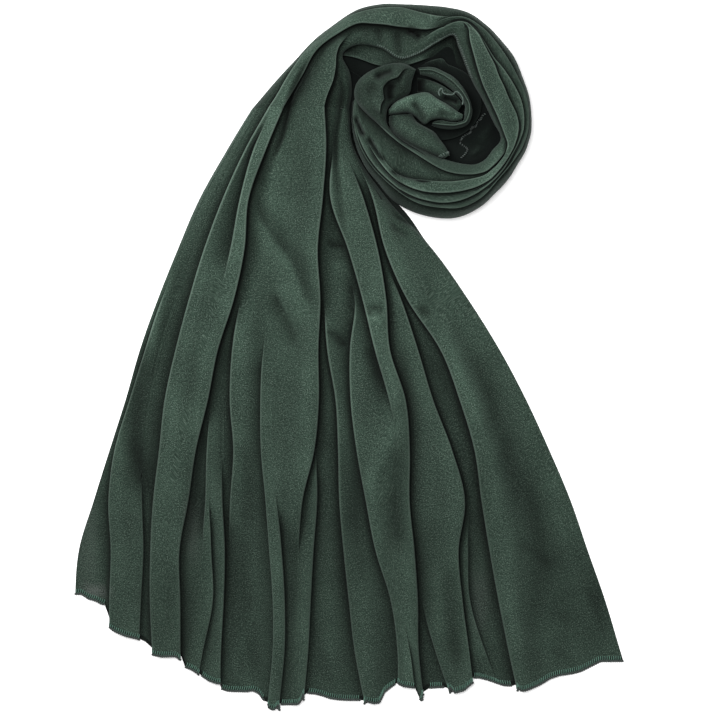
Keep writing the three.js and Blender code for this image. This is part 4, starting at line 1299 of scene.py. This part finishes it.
def stitchEdge(outer, middle, inner):
    # one short bar of thread after another, from the cut edge over the middle row to the inner row
    pitch = overlock["pitch"] * mm
    slant = overlock["slant"] * mm
    way = lengthAlong(outer)
    places = np.arange(pitch / 2, way[-1] - slant, pitch)
    lift = np.array((0, 0, overlock["lift"] * mm))
    low = placesOn(outer, way, places) * 0.5 + placesOn(middle, way, places) * 0.5
    low = low + lift * overlock["lowLift"]
    middle = placesOn(middle, way, places + slant / 2) + lift * overlock["middleLift"]
    high = placesOn(inner, way, places + slant) + lift
    bars = [np.stack(stitch) for stitch in zip(low, middle, high)]
    return [tube(bar, overlock["thread"] * mm, overlock["sides"]) for bar in bars]


def joinTubes(name, tubes, finish):
    points, faces, base = [], [], 0
    for places, sides in tubes:
        points.append(places)
        faces += [[base + corner for corner in side] for side in sides]
        base += len(places)
    mesh = bpy.data.meshes.new(name)
    mesh.from_pydata(np.concatenate(points).tolist(), [], faces)
    mesh.polygons.foreach_set("use_smooth", np.ones(len(mesh.polygons), bool))
    piece = bpy.data.objects.new(name, mesh)
    bpy.context.scene.collection.objects.link(piece)
    applyModifier(piece, "WELD", merge_threshold=1e-7)
    piece.data.materials.append(finish)
    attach(piece, "root")
    report("%s, %d stitches and cords, %d faces" % (name, len(tubes), len(faces)))
    return piece


def ridgeTube(edge, radius):
    # the bumpy rolled edge outside the stitches
    way = lengthAlong(edge)
    places = np.arange(0, way[-1], overlock["pitch"] / 4 * mm)
    even = placesOn(edge, way, places)
    bumps = 1 + overlock["bump"] * np.cos(places / mm / overlock["pitch"] * 2 * math.pi)
    lift = np.array((0, 0, overlock["lift"] * mm))
    return tube(even + lift, radius * mm * bumps, overlock["cordSides"])


def makeHemStitching(points, runs, stitch, cord):
    bars, rolls = [], []
    for run in runs:
        bars += stitchEdge(points[-1, run], points[-3, run], points[-5, run])
        rolls.append(ridgeTube(points[-1, run] * 0.9 + points[-2, run] * 0.1, overlock["cord"]))
    joinTubes("hemOverlock", bars, stitch)
    joinTubes("hemRoll", rolls, cord)


def makeInnerStitching(ringPoints, lowerPoints, finish):
    # the serged end that shows inside the arch and on the lower petal
    rows = slice(ring["rows"] * 6 - 2, ring["rows"] * 14 - 3)
    side = -wallSteps - 1
    tubes = stitchEdge(ringPoints[rows, side + 3], ringPoints[rows, side + 2], ringPoints[rows, side + 1])
    tubes += stitchEdge(lowerPoints[-2, 6:-6], lowerPoints[-4, 6:-6], lowerPoints[-6, 6:-6])
    joinTubes("innerOverlock", tubes, finish)


innerEdge = {
    "radius": 0.7, "up": 50.5,
    "path": [(438.5, 99.5), (437.5, 96), (439.5, 92.5), (441, 93), (442, 96.5), (445, 98), (449.5, 98.5),
             (452, 98), (454, 95.8), (456.5, 96), (460.5, 100), (461.5, 104), (461, 108.5)],
}


hiddenEdge = {
    "half": 1.1, "lift": 0.8,
    "path": [(485.7, 114.5), (482, 117), (480.5, 120.5), (477, 123), (475.5, 127.5), (471, 129.5),
             (470, 134), (465, 136.5), (461.5, 140), (460, 144.5), (467, 150), (464.5, 155.5), (460, 160)],
}


pathSteps = 60


def smoothPath(path):
    # x and y of a path on the board, rounded between its points
    path = np.array(path, float)
    steps = np.linspace(0, len(path) - 1, pathSteps)
    return [smoothRow(np.arange(len(path)), path[:, axis], steps) for axis in (0, 1)]


def makeHiddenEdge(plyPoints, finish):
    x, y = smoothPath(hiddenEdge["path"])
    flat = plyPoints.reshape(-1, 3)
    spot = onBoard(x, y, np.zeros(len(x)))
    nearest = np.hypot(*[flat[None, :, axis] - spot[:, None, axis] for axis in (0, 1)]).argmin(1)
    up = flat[nearest, 2] / mm + hiddenEdge["lift"]
    way = np.gradient(np.stack([x, y], 1), axis=0)
    way /= np.linalg.norm(way, axis=1)[:, None]
    rows = [onBoard(x - way[:, 1] * side, y + way[:, 0] * side, up)
            for side in (-hiddenEdge["half"], 0, hiddenEdge["half"])]
    joinTubes("hiddenOverlock", stitchEdge(*rows), finish)


def makeInnerEdge(finish):
    # the cut end in the middle of the coil, which stands on its edge in a small wave
    x, y = smoothPath(innerEdge["path"])
    points = onBoard(x, y, np.full(len(x), float(innerEdge["up"])))
    edge = tube(points, innerEdge["radius"] * mm, overlock["cordSides"])
    joinTubes("curlEdge", [edge], finish)


addCamera()
bpy.ops.object.select_all(action="DESELECT")
addLamps()
makeTable()
jersey = jerseyFinish()
stitchThread = threadFinish("stitch")
cordThread = threadFinish("cord")
edgeThread = threadFinish("edge")
shadedEdgeThread = threadFinish("hidden")
fanSheet = shapeFan()
ringSheet = shapeWound("ringCloth", ring, ["arch_strand", "outer_wrap"], fanSheet)
lowerSheet = shapeWound("lowerPetal", lower, ["lower_petal"])
pliesSheet = shapeWound("coilPlies", plies, ["coil_core"])
sheets = [fanSheet, ringSheet, lowerSheet, pliesSheet,
          shapeWound("upperPetal", petal, ["upper_petal"]),
          shapeWound("centralLobe", lobe, ["central_lobe"]),
          shapeWound("coreRims", rims, ["core_rim"]),
          shapeWound("coreCurl", curl, ["core_curl"])]
matchSeam(fanSheet, ringSheet)
shadeHollows(sheets)
for sheet in sheets:
    finishSheet(sheet, jersey)
makeHemStitching(fanSheet["points"], fanSheet["runs"], stitchThread, cordThread)
makeInnerStitching(ringSheet["points"], lowerSheet["points"], edgeThread)
makeHiddenEdge(pliesSheet["points"], shadedEdgeThread)
makeInnerEdge(edgeThread)
